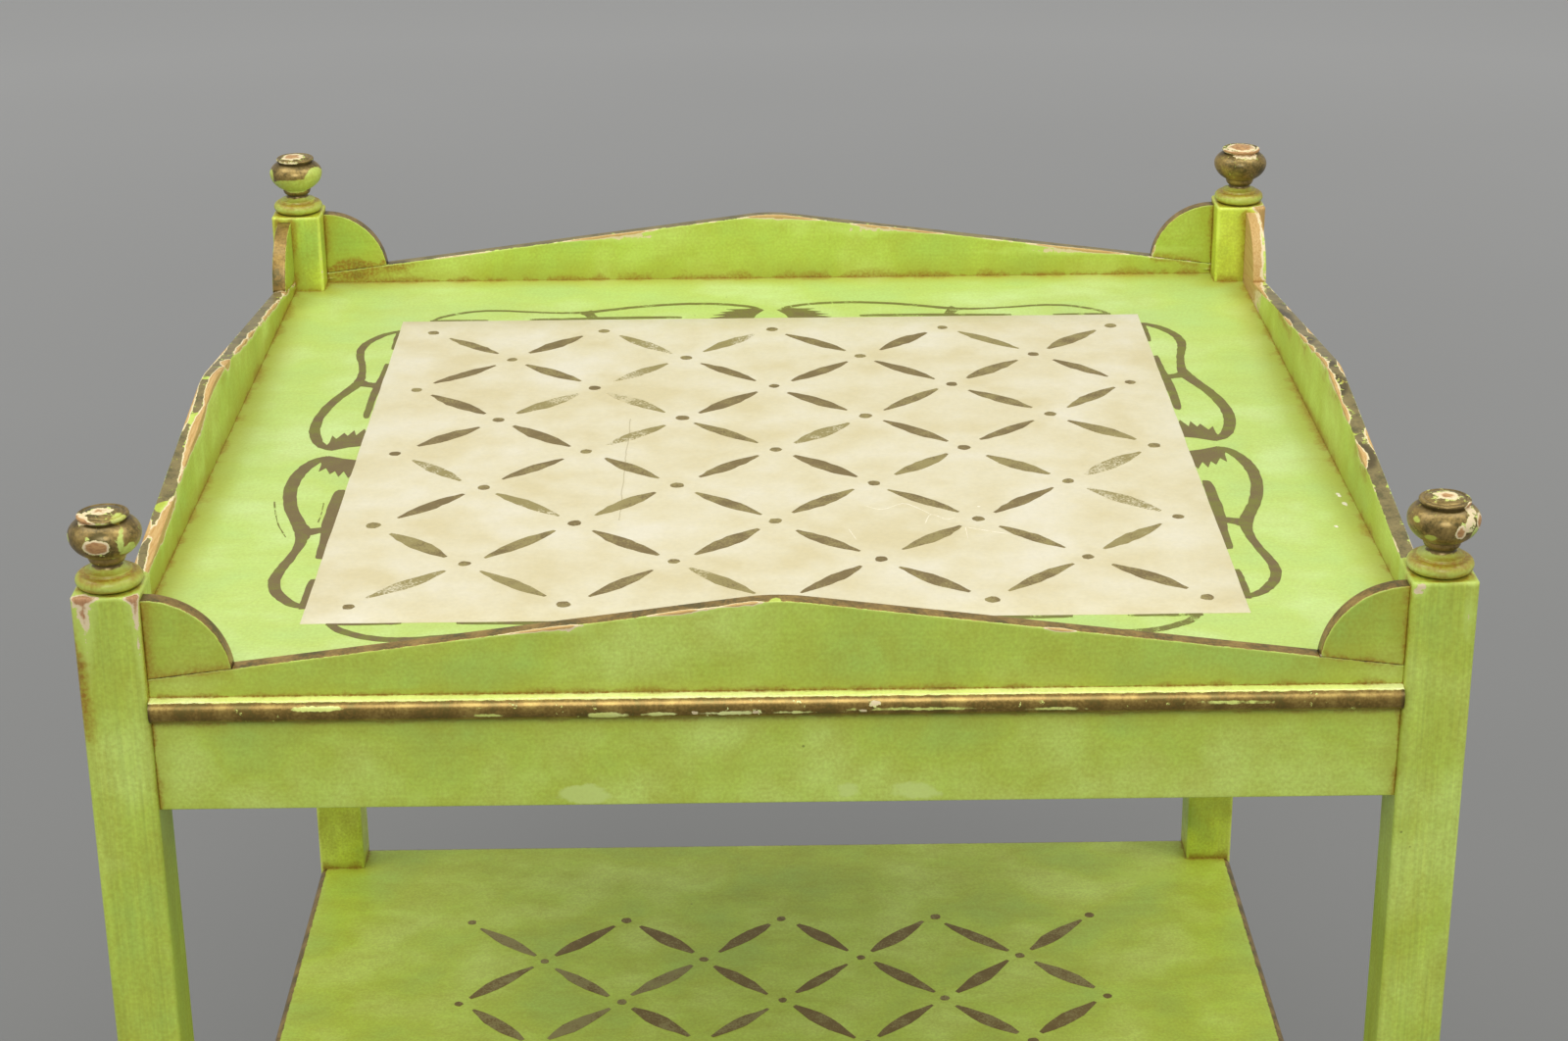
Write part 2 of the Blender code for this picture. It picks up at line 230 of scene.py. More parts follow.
@dataclass(frozen=True)
class ApplePaint:
    """Brushed oil paint, antiqued with a wiped olive glaze.

    Gives the eye cloudy apple green, paler where the glaze was wiped off, with olive pores, faint
    brush lines and a burnt, broken line of glaze in every joint.
    """

    cool: str = "#aecb56"
    body: str = "#b9d04f"
    pale: str = "#c8df6c"
    olive: str = "#a9a527"
    bleed: str = "#9c761a"
    line: str = "#6a4c12"
    touched: str = "#cfe283"
    speck: str = "#5a5f22"
    cloud: float = 42 * MM
    patch: float = 15 * MM
    drawn: Point = (1, 1, 1)      # below 1 where the brush drew the glaze's patches out
    pore: float = 1.2 * MM
    bristle: float = 42 * MM      # length of a brush line, which is a fortieth as wide
    brushing: float = 0.04        # how strong the brush lines are
    speck_spacing: float = 30 * MM
    glaze: float = 0.5            # how much glaze was left: 0 wiped clean, 1 heavy
    wash: float = 0.35            # how much glaze lies along the joints in all
    wash_reach: float = 8.0       # how far it reaches from them, in millimetres
    blotch: float = 11 * MM       # size of the blotches in the darker stain at the joint itself
    joint_reach: float = 1.6      # how far that stain reaches, in millimetres
    joint_stain: float = 0.85
    joint_dark: float = 0.35
    roughness: float = 0.40

    def lay(self, wiring: Wiring, place: Socket, brush: Brush, seam: Socket) -> Coat:
        """Wire the paint's colour and roughness.

        Args:
            wiring: the material's node tree.
            place: world position.
            brush: which way the piece was brushed.
            seam: distance to the nearest joint, in millimetres.

        Returns:
            The coat.
        """
        add = wiring.add
        stroked = add("VectorMath", {0: place, 1: self.drawn}, operation="MULTIPLY")
        own = add("TexCoord", output="Object")
        combed = add("VectorMath", {0: own, 1: brush.value}, operation="MULTIPLY")
        clouds, patches, pores, lines, blotches = (
            add("TexNoise", {"Vector": vector, "Scale": 1 / size, "Detail": detail, "Roughness": fine,
                             "Distortion": bend})
            for vector, size, detail, fine, bend in (
                (place, self.cloud, 4.0, 0.5, 0.0), (stroked, self.patch, 6.0, 0.62, 0.3),
                (place, self.pore, 3.0, 0.5, 0.0), (combed, self.bristle, 3.0, 0.5, 0.0),
                (place, self.blotch, 4.0, 0.55, 0.0)))
        flies = add("TexVoronoi", {"Vector": place, "Scale": 1 / self.speck_spacing}, output="Distance")
        touch = add("Attribute", output="Fac", attribute_name=TOUCH)
        green = add("ValToRGB", {
            "Fac": clouds}, stops=((0.34, self.cool), (0.50, self.body), (0.66, self.pale)))
        grit = add("Math", {0: pores, 1: 0.45, 2: patches}, operation="MULTIPLY_ADD")
        crack = add("Math", {0: blotches, 1: -4.0, 2: seam}, operation="MULTIPLY_ADD")
        dab = add("Math", {0: patches, 1: 0.6, 2: touch}, operation="MULTIPLY_ADD")
        left, shade, stipple, reach, mottle, dark, dot = (
            add("MapRange", {"Value": value, "From Min": low, "From Max": high, "To Min": first,
                             "To Max": last})
            for value, low, high, first, last in (
                (grit, 0.56, 1.0, 0.0, self.glaze),
                (lines, 0.3, 0.7, 1 - self.brushing, 1 + self.brushing),
                (pores, 0.3, 0.7, 1.05, 0.95),
                (blotches, 0.40, 0.64, 0.15 * self.joint_reach, 2.4 * self.joint_reach),
                (pores, 0.36, 0.62, 0.5, 1.15),
                (crack, -2.6, -1.9, self.joint_dark, 0.0),
                (flies, 0.012, 0.020, 0.6, 0.0)))
        wash = add("MapRange", {
            "Value": seam, "From Max": self.wash_reach, "To Min": self.wash,
            "To Max": 0.0}, interpolation_type="SMOOTHSTEP")
        dabbed = add("MapRange", {"Value": dab, "From Min": 0.76, "From Max": 0.84, "To Max": 0.7},
                     interpolation_type="SMOOTHSTEP")
        soak = add("Math", {0: seam, 1: reach}, operation="DIVIDE")
        stain = add("MapRange", {"Value": soak, "To Min": self.joint_stain, "To Max": 0.0})
        stain = add("Math", {0: stain, 1: mottle}, operation="MULTIPLY", use_clamp=True)
        shade = add("Math", {0: shade, 1: stipple}, operation="MULTIPLY")
        aged = add("Mix", {FACTOR: left, UNDER: green, OVER: self.olive}, MIXED, data_type="RGBA")
        colour = add("VectorMath", {0: aged, "Scale": shade}, operation="SCALE")
        for mask, over in ((wash, self.olive), (stain, self.bleed), (dark, self.line),
                           (dabbed, self.touched), (dot, self.speck)):
            colour = add("Mix", {FACTOR: mask, UNDER: colour, OVER: over}, MIXED, data_type="RGBA")
        dull = add("Math", {0: left, 1: 0.2, 2: self.roughness}, operation="MULTIPLY_ADD")
        return Coat(colour, dull)


@dataclass(frozen=True)
class BronzePaint:
    """Bronze powder in varnish, brushed on over the green.

    Gives the eye a satin brown gold, more golden where it is thick and olive where it is thin.
    """

    body: str = "#846a2e"
    gold: str = "#a98a45"
    thin: str = "#625621"
    grime: str = "#40330f"
    grime_reach: float = 2.2      # how far grime lies out of a hollow or joint, in millimetres
    blot: float = 8 * MM
    grain: float = 1.0 * MM
    metallic: float = 0.4
    roughness: float = 0.40

    def lay(self, wiring: Wiring, place: Socket, seam: Socket) -> Coat:
        """Wire the paint's colour and roughness.

        Args:
            wiring: the material's node tree.
            place: world position.
            seam: distance to the nearest joint or hollow, in millimetres.

        Returns:
            The coat.
        """
        add = wiring.add
        blots = add("TexNoise", {
            "Vector": place, "Scale": 1 / self.blot, "Detail": 5.0, "Roughness": 0.6})
        grains = add("TexNoise", {"Vector": place, "Scale": 1 / self.grain, "Detail": 1.0})
        mixed = add("Math", {0: grains, 1: 0.3, 2: blots}, operation="MULTIPLY_ADD")
        colour = add("ValToRGB", {
            "Fac": mixed}, stops=((0.50, self.thin), (0.62, self.body), (0.84, self.gold)))
        hollow = add("MapRange", {
            "Value": seam, "From Max": self.grime_reach, "To Min": 0.75,
            "To Max": 0.0}, interpolation_type="SMOOTHSTEP")
        colour = add("Mix", {FACTOR: hollow, UNDER: colour, OVER: self.grime}, MIXED, data_type="RGBA")
        rough = add("Math", {0: grains, 1: 0.2, 2: self.roughness - 0.1}, operation="MULTIPLY_ADD")
        return Coat(colour, rough)


@dataclass(frozen=True)
class PaintedWood:
    """Bronze over green over gesso over wood, each worn through to the next.

    Gives the eye a satin painted surface whose edges and knocks show a thin pale ring of gesso
    round tan wood.
    """

    name: str
    brush: Brush
    green: ApplePaint = field(default_factory=ApplePaint)
    bronze: BronzePaint = field(default_factory=BronzePaint)
    gesso: str = "#e2cfa4"
    wood: str = "#c9a666"
    wood_dark: str = "#b8904e"
    flaking: float = 0.0           # how deep the bronze's small flakes are: 0.5 takes it off
    chip: float = 3.0 * MM
    stretch: float = 22 * MM       # length of a worn stretch along an edge
    grain: float = 0.7 * MM
    relief: float = 0.06 * MM      # thickness of paint and gesso together
    varnish: float = 0.15

    def material(self) -> bpy.types.Material:
        """Make the material, in which wear of 0.75 takes the bronze off, 0.76 reaches gesso and 0.9 wood.

        Returns:
            The material.
        """
        material, wiring = new_material(self.name)
        add = wiring.add
        place = add("NewGeometry", output="Position")
        own = add("TexCoord", output="Object")
        combed = add("VectorMath", {0: own, 1: self.brush.value}, operation="MULTIPLY")
        edge, rub, seam, gilt = (add("Attribute", output="Fac", attribute_name=name)
                                 for name in (WORN, RUB, SEAM, GILT))
        chips, stretches, flakes, rings = (
            add("TexNoise", {"Vector": vector, "Scale": scale, "Detail": detail, "Roughness": fine})
            for vector, scale, detail, fine in (
                (place, 1 / self.chip, 4.0, 0.6), (place, 1 / self.stretch, 3.0, 0.5),
                (place, 0.8 / self.chip, 5.0, 0.7), (combed, 1 / (40 * self.grain), 3.0, 0.5)))
        hands = add("MapRange", {
            "Value": stretches, "From Min": 0.34, "From Max": 0.60, "To Min": 0.25, "To Max": 1.0})
        rubbed = add("Math", {0: edge, 1: hands, 2: rub}, operation="MULTIPLY_ADD")
        worn = add("Math", {0: chips, 1: 0.5, 2: rubbed}, operation="MULTIPLY_ADD")
        flaked = add("MapRange", {
            "Value": flakes, "From Min": 0.58, "From Max": 0.66, "To Max": self.flaking})
        flaked = add("Math", {0: worn, 1: flaked}, operation="ADD")
        bare, chalk, thinned, polished = (
            add("MapRange", {"Value": wear, "From Min": low, "From Max": high, "To Max": most},
                interpolation_type="SMOOTHSTEP")
            for wear, low, high, most in ((worn, 0.85, 0.97, 1.0), (worn, 0.735, 0.785, 1.0),
                                          (flaked, 0.73, 0.76, 1.0), (worn, 0.36, 0.70, 0.6)))
        green = self.green.lay(wiring, place, self.brush, seam)
        bronze = self.bronze.lay(wiring, place, seam)
        outline = add("Math", {0: chips, 1: 1.6, 2: gilt}, operation="MULTIPLY_ADD")
        gilded = add("MapRange", {"Value": outline, "From Min": 0.65, "From Max": 0.95})
        kept, full = (add("Math", {0: 1.0, 1: gone}, operation="SUBTRACT") for gone in (thinned, chalk))
        gilded = add("Math", {0: gilded, 1: kept}, operation="MULTIPLY")
        timber = add("ValToRGB", {"Fac": rings}, stops=((0.35, self.wood_dark), (0.6, self.wood)))
        colour = green.colour
        for mask, over in ((polished, self.green.pale), (gilded, bronze.colour),
                           (chalk, self.gesso), (bare, timber)):
            colour = add("Mix", {FACTOR: mask, UNDER: colour, OVER: over}, MIXED, data_type="RGBA")
        rough = add("Mix", {FACTOR: gilded, 2: green.roughness, 3: bronze.roughness}, data_type="FLOAT")
        rough = add("Mix", {FACTOR: chalk, 2: rough, 3: 0.75}, data_type="FLOAT")
        metal = add("Math", {0: gilded, 1: full}, operation="MULTIPLY")
        metal = add("Math", {0: metal, 1: self.bronze.metallic}, operation="MULTIPLY")
        height = add("Math", {0: full, 1: kept}, operation="ADD")
        for bumps, share in ((rings, 0.5), (chips, 0.35)):
            height = add("Math", {0: bumps, 1: share, 2: height}, operation="MULTIPLY_ADD")
        bump = add("Bump", {"Height": height, "Distance": self.relief, "Strength": 0.6})
        wiring.finish({"Base Color": colour, "Roughness": rough, "Metallic": metal, "Normal": bump,
                       "IOR": 1.5, "Coat Weight": self.varnish, "Coat Roughness": 0.25})
        return material


@dataclass(frozen=True)
class CreamPaint:
    """Cream oil paint, rubbed and yellowed.

    Gives the eye a warm cream with buff clouds, whiter where it was rubbed, and one fine crack.
    """

    name: str = "cream_paint"
    body: str = "#d5ccaa"
    buff: str = "#cec298"
    rubbed: str = "#dad3ba"
    crack: str = "#94824d"
    cloud: float = 38 * MM
    weave: float = 1.6 * MM
    crack_line: float = -57.8 * MM
    crack_ends: Flat = (-80 * MM, 30 * MM)
    roughness: float = 0.45

    def lay(self, wiring: Wiring, place: Socket) -> Coat:
        """Wire the paint's colour and roughness.

        Args:
            wiring: the material's node tree.
            place: world position.

        Returns:
            The coat.
        """
        add = wiring.add
        clouds = add("TexNoise", {
            "Vector": place, "Scale": 1 / self.cloud, "Detail": 5.0, "Roughness": 0.6})
        colour = add("ValToRGB", {
            "Fac": clouds}, stops=((0.36, self.buff), (0.52, self.body), (0.68, self.rubbed)))
        fine = add("TexNoise", {"Vector": place, "Scale": 1 / self.weave, "Detail": 2.0})
        shade = add("MapRange", {
            "Value": fine, "From Min": 0.3, "From Max": 0.7, "To Min": 0.965, "To Max": 1.025})
        colour = add("VectorMath", {0: colour, "Scale": shade}, operation="SCALE")
        split, along = (add("SeparateXYZ", {"Vector": place}, axis) for axis in "XY")
        drift = add("Math", {0: clouds, 1: 0.004, 2: split}, operation="MULTIPLY_ADD")
        middle = sum(self.crack_ends) / 2
        off, beyond = (
            add("Math", {0: add("Math", {0: value, 1: centre}, operation="SUBTRACT")},
                operation="ABSOLUTE")
            for value, centre in ((drift, self.crack_line + 0.002), (along, middle)))
        inside = add("Math", {0: beyond, 1: self.crack_ends[1] - middle}, operation="LESS_THAN")
        line = add("MapRange", {
            "Value": off, "From Min": 0.1 * MM, "From Max": 0.35 * MM, "To Min": 0.45, "To Max": 0.0})
        line = add("Math", {0: line, 1: inside}, operation="MULTIPLY")
        colour = add("Mix", {FACTOR: line, UNDER: colour, OVER: self.crack}, MIXED, data_type="RGBA")
        rough = add("Math", {0: fine, 1: 0.1, 2: self.roughness - 0.05}, operation="MULTIPLY_ADD")
        return Coat(colour, rough)

    def material(self) -> bpy.types.Material:
        """Make the material.

        Returns:
            The material.
        """
        material, wiring = new_material(self.name)
        place = wiring.add("NewGeometry", output="Position")
        coat = self.lay(wiring, place)
        fine = wiring.add("TexNoise", {"Vector": place, "Scale": 1 / self.weave, "Detail": 2.0})
        bump = wiring.add("Bump", {"Height": fine, "Distance": 0.05 * MM, "Strength": 0.5})
        wiring.finish({
            "Base Color": coat.colour, "Roughness": coat.roughness, "Normal": bump, "IOR": 1.5})
        return material


@dataclass(frozen=True)
class StencilBronze:
    """Bronze paint dabbed through a cut stencil, dry in places.

    Gives the eye a matt brown that breaks up into olive where the brush ran dry.
    """

    name: str
    under: CreamPaint | ApplePaint
    body: str = "#857146"
    deep: str = "#6d5d33"
    olive: str = "#978a54"
    blot: float = 7 * MM
    bristle: float = 0.9 * MM
    roughness: float = 0.5
    metallic: float = 0.15

    def material(self) -> bpy.types.Material:
        """Make the material.

        Returns:
            The material.
        """
        material, wiring = new_material(self.name)
        add = wiring.add
        place = add("NewGeometry", output="Position")
        dry = add("Attribute", output="Fac", attribute_name=DRY)
        if isinstance(self.under, CreamPaint):
            ground = self.under.lay(wiring, place)
        else:
            far = add("Math", {0: FAR, 1: 0.0}, operation="ADD")
            ground = self.under.lay(wiring, place, Brush.ALONG_X, far)
        blots = add("TexNoise", {"Vector": place, "Scale": 1 / self.blot, "Detail": 4.0})
        marks = add("TexNoise", {"Vector": place, "Scale": 1 / self.bristle, "Detail": 2.0})
        thin = add("Math", {0: marks, 1: 0.8, 2: dry}, operation="MULTIPLY_ADD")
        thin = add("Math", {0: blots, 1: 0.7, 2: thin}, operation="MULTIPLY_ADD")
        film, gone = (add("MapRange", {"Value": thin, "From Min": low, "From Max": high},
                          interpolation_type="SMOOTHSTEP")
                      for low, high in ((0.74, 1.02), (1.16, 1.34)))
        colour = self.deep
        for mask, over in ((blots, self.body), (film, self.olive), (gone, ground.colour)):
            colour = add("Mix", {FACTOR: mask, UNDER: colour, OVER: over}, MIXED, data_type="RGBA")
        bump = add("Bump", {"Height": marks, "Distance": 0.05 * MM, "Strength": 0.5})
        wiring.finish({"Base Color": colour, "Normal": bump, "Roughness": self.roughness,
                       "Metallic": self.metallic, "IOR": 1.5})
        return material


@dataclass(frozen=True)
class ScratchedPaint:
    """Paint scratched to its chalky underside.

    Gives the eye dry pale lines that break up along their length.
    """

    name: str = "scratched_paint"
    chalk: str = "#efe9d6"
    dusty: str = "#ddd2b0"
    grain: float = 1.1 * MM

    def material(self) -> bpy.types.Material:
        """Make the material.

        Returns:
            The material.
        """
        material, wiring = new_material(self.name)
        place = wiring.add("NewGeometry", output="Position")
        dust = wiring.add("TexNoise", {"Vector": place, "Scale": 1 / self.grain, "Detail": 3.0})
        colour = wiring.add("ValToRGB", {"Fac": dust}, stops=((0.35, self.dusty), (0.60, self.chalk)))
        bump = wiring.add("Bump", {"Height": dust, "Distance": 0.04 * MM, "Strength": 0.6})
        wiring.finish({"Base Color": colour, "Normal": bump, "Roughness": 0.8})
        return material


@dataclass(frozen=True)
class SawnPine:
    """Unpainted softwood, sawn and darkened by age.

    Gives the eye dull tan wood with darker grain lines and sawing marks across them.
    """

    name: str = "sawn_pine"
    early: str = "#b98d5e"
    late: str = "#8d6238"
    ring: float = 2.4 * MM
    kerf: float = 1.1 * MM

    def material(self, brush: Brush) -> bpy.types.Material:
        """Make the material.

        Args:
            brush: which way the grain runs.

        Returns:
            The material.
        """
        material, wiring = new_material(self.name)
        add = wiring.add
        own = add("TexCoord", output="Object")
        combed = add("VectorMath", {0: own, 1: brush.value}, operation="MULTIPLY")
        grain = add("TexNoise", {"Vector": combed, "Scale": 1 / (40 * self.ring), "Detail": 5.0})
        colour = add("ValToRGB", {"Fac": grain}, stops=((0.35, self.late), (0.62, self.early)))
        saw = add("TexWave", {"Vector": own, "Scale": 1 / (20 * self.kerf), "Distortion": 2.0})
        height = add("Math", {0: saw, 1: 0.5, 2: grain}, operation="MULTIPLY_ADD")
        bump = add("Bump", {"Height": height, "Distance": 0.15 * MM, "Strength": 0.6})
        wiring.finish({"Base Color": colour, "Normal": bump, "Roughness": 0.78})
        return material


@dataclass(frozen=True)
class Wear:
    """How hands wore an edge: 0.5 reaches gesso where the wear is whole, and 0.65 reaches wood."""

    depth: float
    reach: float

    def at(self, distance: float) -> float:
        """Depth of the wear at a distance from the edge."""
        return self.depth * min(max(1 - distance / self.reach, 0), 1)


@dataclass(frozen=True)
class Marks:
    """A surface point's marks: the depth of its wear, and two distances in metres."""

    worn: float = 0.0
    seam: float = FAR
    gilt: float = -FAR


class Harm(Enum):
    """What happened at a spot."""

    RUBBED = "rubbed"      # down to the gesso or the wood
    FLAKED = "flaked"      # only the bronze is gone
    STAINED = "stained"    # glaze soaked in, as it does at a joint


@dataclass(frozen=True)
class Spot:
    """A place that was rubbed, flaked or stained, in the world's coordinates."""

    place: Point
    size: Point              # half of the rubbed place's length each way
    ring: float              # width of the gesso's ring round the wood
    most: float              # how far down it goes: 0.55 stops at the gesso
    pointed: bool            # whether it narrows to a point, as a knocked edge does
    harm: Harm

    @classmethod
    def near(cls, base: Sequence[float], offset: Point, size: Point, ring: float = 0.8,
             most: float = 1.0, pointed: bool = False) -> "Spot":
        """Make a spot from millimetres.

        Args:
            base: the place that it is measured from, in metres.
            offset: how far from there its middle is.
            size: half of its length each way.
            ring: width of the gesso's ring.
            most: how far down it goes: 0 takes off only the bronze, and below 0 is a stain.
            pointed: whether it narrows to a point.

        Returns:
            The spot.
        """
        harm = Harm.RUBBED if most > 0 else Harm.STAINED if most < 0 else Harm.FLAKED
        return cls(tuple(b + v * MM for b, v in zip(base, offset)), tuple(v * MM for v in size),
                   ring * MM, abs(most), pointed, harm)

    def turned(self, turn: Matrix) -> "Spot":
        """The spot on a piece that was turned into place.

        Args:
            turn: the piece's turn.

        Returns:
            The spot where the turn puts it.
        """
        size = turn.to_3x3() @ Vector(self.size)
        return replace(self, place=tuple(turn @ Vector(self.place)), size=tuple(abs(v) for v in size))

    def inside(self, point: Vector) -> float:
        """How far a point lies inside the spot's outline, negative outside it."""
        off = [abs(point[i] - self.place[i]) / self.size[i] for i in range(3)]
        away = sum(off) if self.pointed else math.hypot(*off)
        return (1 - away) * min(self.size)

    def at(self, point: Vector) -> float:
        """Depth of the rubbing at a point.

        Args:
            point: the point.

        Returns:
            The depth, which falls away outside the spot.
        """
        if self.harm is not Harm.RUBBED:
            return 0.0
        return min(max(GESSO_DEPTH + self.inside(point) / self.ring * RING_DEPTH, 0.0), self.most)


@dataclass(frozen=True)
class TableLines:
    """Levels and lines that the pieces share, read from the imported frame's boxes."""

    half: float
    leg_face: float
    leg_top: float
    board_out: float
    board_in: float
    board_bottom: float
    tray: float
    ear_top: float
    bead_low: float
    bead_high: float
    finial_top: float
    shelves: dict[str, Flat]

    @classmethod
    def read(cls) -> "TableLines":
        """Read the lines from the frame.

        Returns:
            The lines.
        """
        leg_low, leg_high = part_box("leg_front_left")
        board_low, board_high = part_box("side_board_front")
        bead_low, bead_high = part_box("bead_front")
        shelves = {}
        for name in ("middle_shelf", "bottom_shelf"):
            low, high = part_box(name)
            shelves[name] = (low.z, high.z)
        return cls(
            half=-leg_low.x, leg_face=-leg_high.x, leg_top=leg_high.z, board_out=-board_low.y,
            board_in=-board_high.y, board_bottom=board_low.z, tray=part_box("tray_board")[1].z,
            ear_top=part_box("ear_front_left")[1].z, bead_low=bead_low.z, bead_high=bead_high.z,
            finial_top=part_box("finial_front_left")[1].z, shelves=shelves)

    @property
    def stock(self) -> float:
        """Side of a leg's square."""
        return self.half - self.leg_face

    @property
    def leg_centre(self) -> float:
        """Middle of a leg, from the table's middle."""
        return (self.half + self.leg_face) / 2

    @property
    def bead_level(self) -> float:
        """Height of the beads' middle."""
        return (self.bead_low + self.bead_high) / 2


def quarter_turns(count: int) -> Matrix:
    """Turn about the table's middle."""
    return Matrix.Rotation(math.radians(90 * count), 4, "Z")


def arc(centre: Flat, radius: float, start: float, end: float, steps: int,
        rise: float | None = None) -> list[Flat]:
    """Points along an arc of a circle or an ellipse.

    Args:
        centre: the arc's centre.
        radius: its radius.
        start: angle of its first point, in degrees.
        end: angle of its last point, in degrees.
        steps: how many stretches it has.
        rise: its radius upwards, where that is another.

    Returns:
        Its points, one more than its steps.
    """
    rise = radius if rise is None else rise
    angles = [math.radians(start + (end - start) * i / steps) for i in range(steps + 1)]
    return [(centre[0] + radius * math.cos(a), centre[1] + rise * math.sin(a)) for a in angles]


def rounding(radius: float, steps: int) -> list[Flat]:
    """Inset and rise of a rounded edge's points, from its foot up."""
    angles = [math.radians(90 * i / steps) for i in range(steps + 1)]
    return [(radius * (1 - math.sin(a)), radius * (1 - math.cos(a))) for a in angles]


def solid(name: str, points: Sequence[Point], faces: Sequence[tuple[int, ...]]) -> bpy.types.Mesh:
    """Mesh of closed bodies, whose faces all look outwards.

    Args:
        name: the mesh's name.
        points: its points.
        faces: its faces, by their points.

    Returns:
        The mesh.
    """
    mesh = bpy.data.meshes.new(name)
    mesh.from_pydata(points, [], faces)
    shape = bmesh.new()
    shape.from_mesh(mesh)
    bmesh.ops.recalc_face_normals(shape, faces=shape.faces[:])
    shape.to_mesh(mesh)
    shape.free()
    return mesh


def loft(name: str, rings: Sequence[Sequence[Point]], sharp: float | None = None) -> bpy.types.Mesh:
    """Smooth mesh of a closed body through rings that have the same number of points.

    Args:
        name: the mesh's name.
        rings: the rings, whose first and last are capped.
        sharp: angle in degrees from which an edge stays sharp.

    Returns:
        The mesh.
    """
    count = len(rings[0])
    points = [point for ring in rings for point in ring]
    faces = [tuple(range(count)), tuple(range(len(points) - count, len(points)))]
    for low in range(0, len(points) - count, count):
        for i in range(count):
            j = (i + 1) % count
            faces.append((low + i, low + j, low + count + j, low + count + i))
    mesh = solid(name, points, faces)
    mesh.shade_smooth()
    if sharp:
        mesh.set_sharp_from_angle(angle=math.radians(sharp))
    return mesh


def uneven(mesh: bpy.types.Mesh, turn: Matrix, amount: float, length: float) -> None:
    """Make a mesh's faces as uneven as hand-finished wood.

    Args:
        mesh: the mesh.
        turn: the piece's turn, so that no two pieces are alike.
        amount: the most that a point moves.
        length: distance between one hollow and the next.
    """
    depths = [amount * (1 + noise.noise(turn @ vertex.co / length)) / 2 for vertex in mesh.vertices]
    places = [vertex.co - vertex.normal * depth for vertex, depth in zip(mesh.vertices, depths)]
    for vertex, place in zip(mesh.vertices, places):
        vertex.co = place


@dataclass
class Piece:
    """One piece of the table: its mesh, its turn and the CAD node that it stands for."""

    name: str
    mesh: bpy.types.Mesh
    slot: str
    quarter_turns: int = 0
    replaces: tuple[str, ...] = ()
    spots: tuple[Spot, ...] = ()
    touches: tuple[Spot, ...] = ()

    @property
    def turn(self) -> Matrix:
        """The piece's turn about the table's middle."""
        return quarter_turns(self.quarter_turns)

    def mark(self, rule: Callable[[Vector], Marks]) -> None:
        """Write the paint's marks on the mesh.

        Args:
            rule: gives a point's marks from its own coordinates.
        """
        turn = self.turn
        marks = [rule(vertex.co) for vertex in self.mesh.vertices]
        world = [turn @ vertex.co for vertex in self.mesh.vertices]
        flaked, stained = ([spot for spot in self.spots if spot.harm is harm]
                           for harm in (Harm.FLAKED, Harm.STAINED))
        stains = [[FAR * MM] + [max(-spot.inside(point), 0) for spot in stained] for point in world]
        flakes = [[-spot.inside(point) for spot in flaked] for point in world]
        values = {
            WORN: [mark.worn for mark in marks],
            SEAM: [min(mark.seam, *near) / MM for mark, near in zip(marks, stains)],
            GILT: [max(min([mark.gilt] + near) / MM, -FAR) for mark, near in zip(marks, flakes)],
            RUB: [max((spot.at(point) for spot in self.spots), default=0.0) for point in world],
            TOUCH: [max((spot.at(point) for spot in self.touches), default=0.0) for point in world],
        }
        for name, numbers in values.items():
            self.mesh.attributes.new(name, "FLOAT", "POINT").data.foreach_set("value", numbers)

    def place(self, material: bpy.types.Material) -> None:
        """Put the piece in the scene, on the table's body.

        Args:
            material: its finish.
        """
        item = bpy.data.objects.new(self.name, self.mesh)
        bpy.context.scene.collection.objects.link(item)
        item.matrix_world = self.turn
        self.mesh.materials.append(material)
        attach(item, BODY)
        if self.replaces:
            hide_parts(*self.replaces)
        LOG.info("%s: %d faces", self.name, len(self.mesh.polygons))

    def finish(self, rule: Callable[[Vector], Marks], material: bpy.types.Material,
               hollows: Flat | None = None) -> None:
        """Mark the piece and put it in the scene.

        Args:
            rule: gives a point's marks from its own coordinates.
            material: its finish.
            hollows: depth of the hollows in its faces and the distance between them.
        """
        if hollows:
            uneven(self.mesh, self.turn, *hollows)
        self.mark(rule)
        self.place(material)


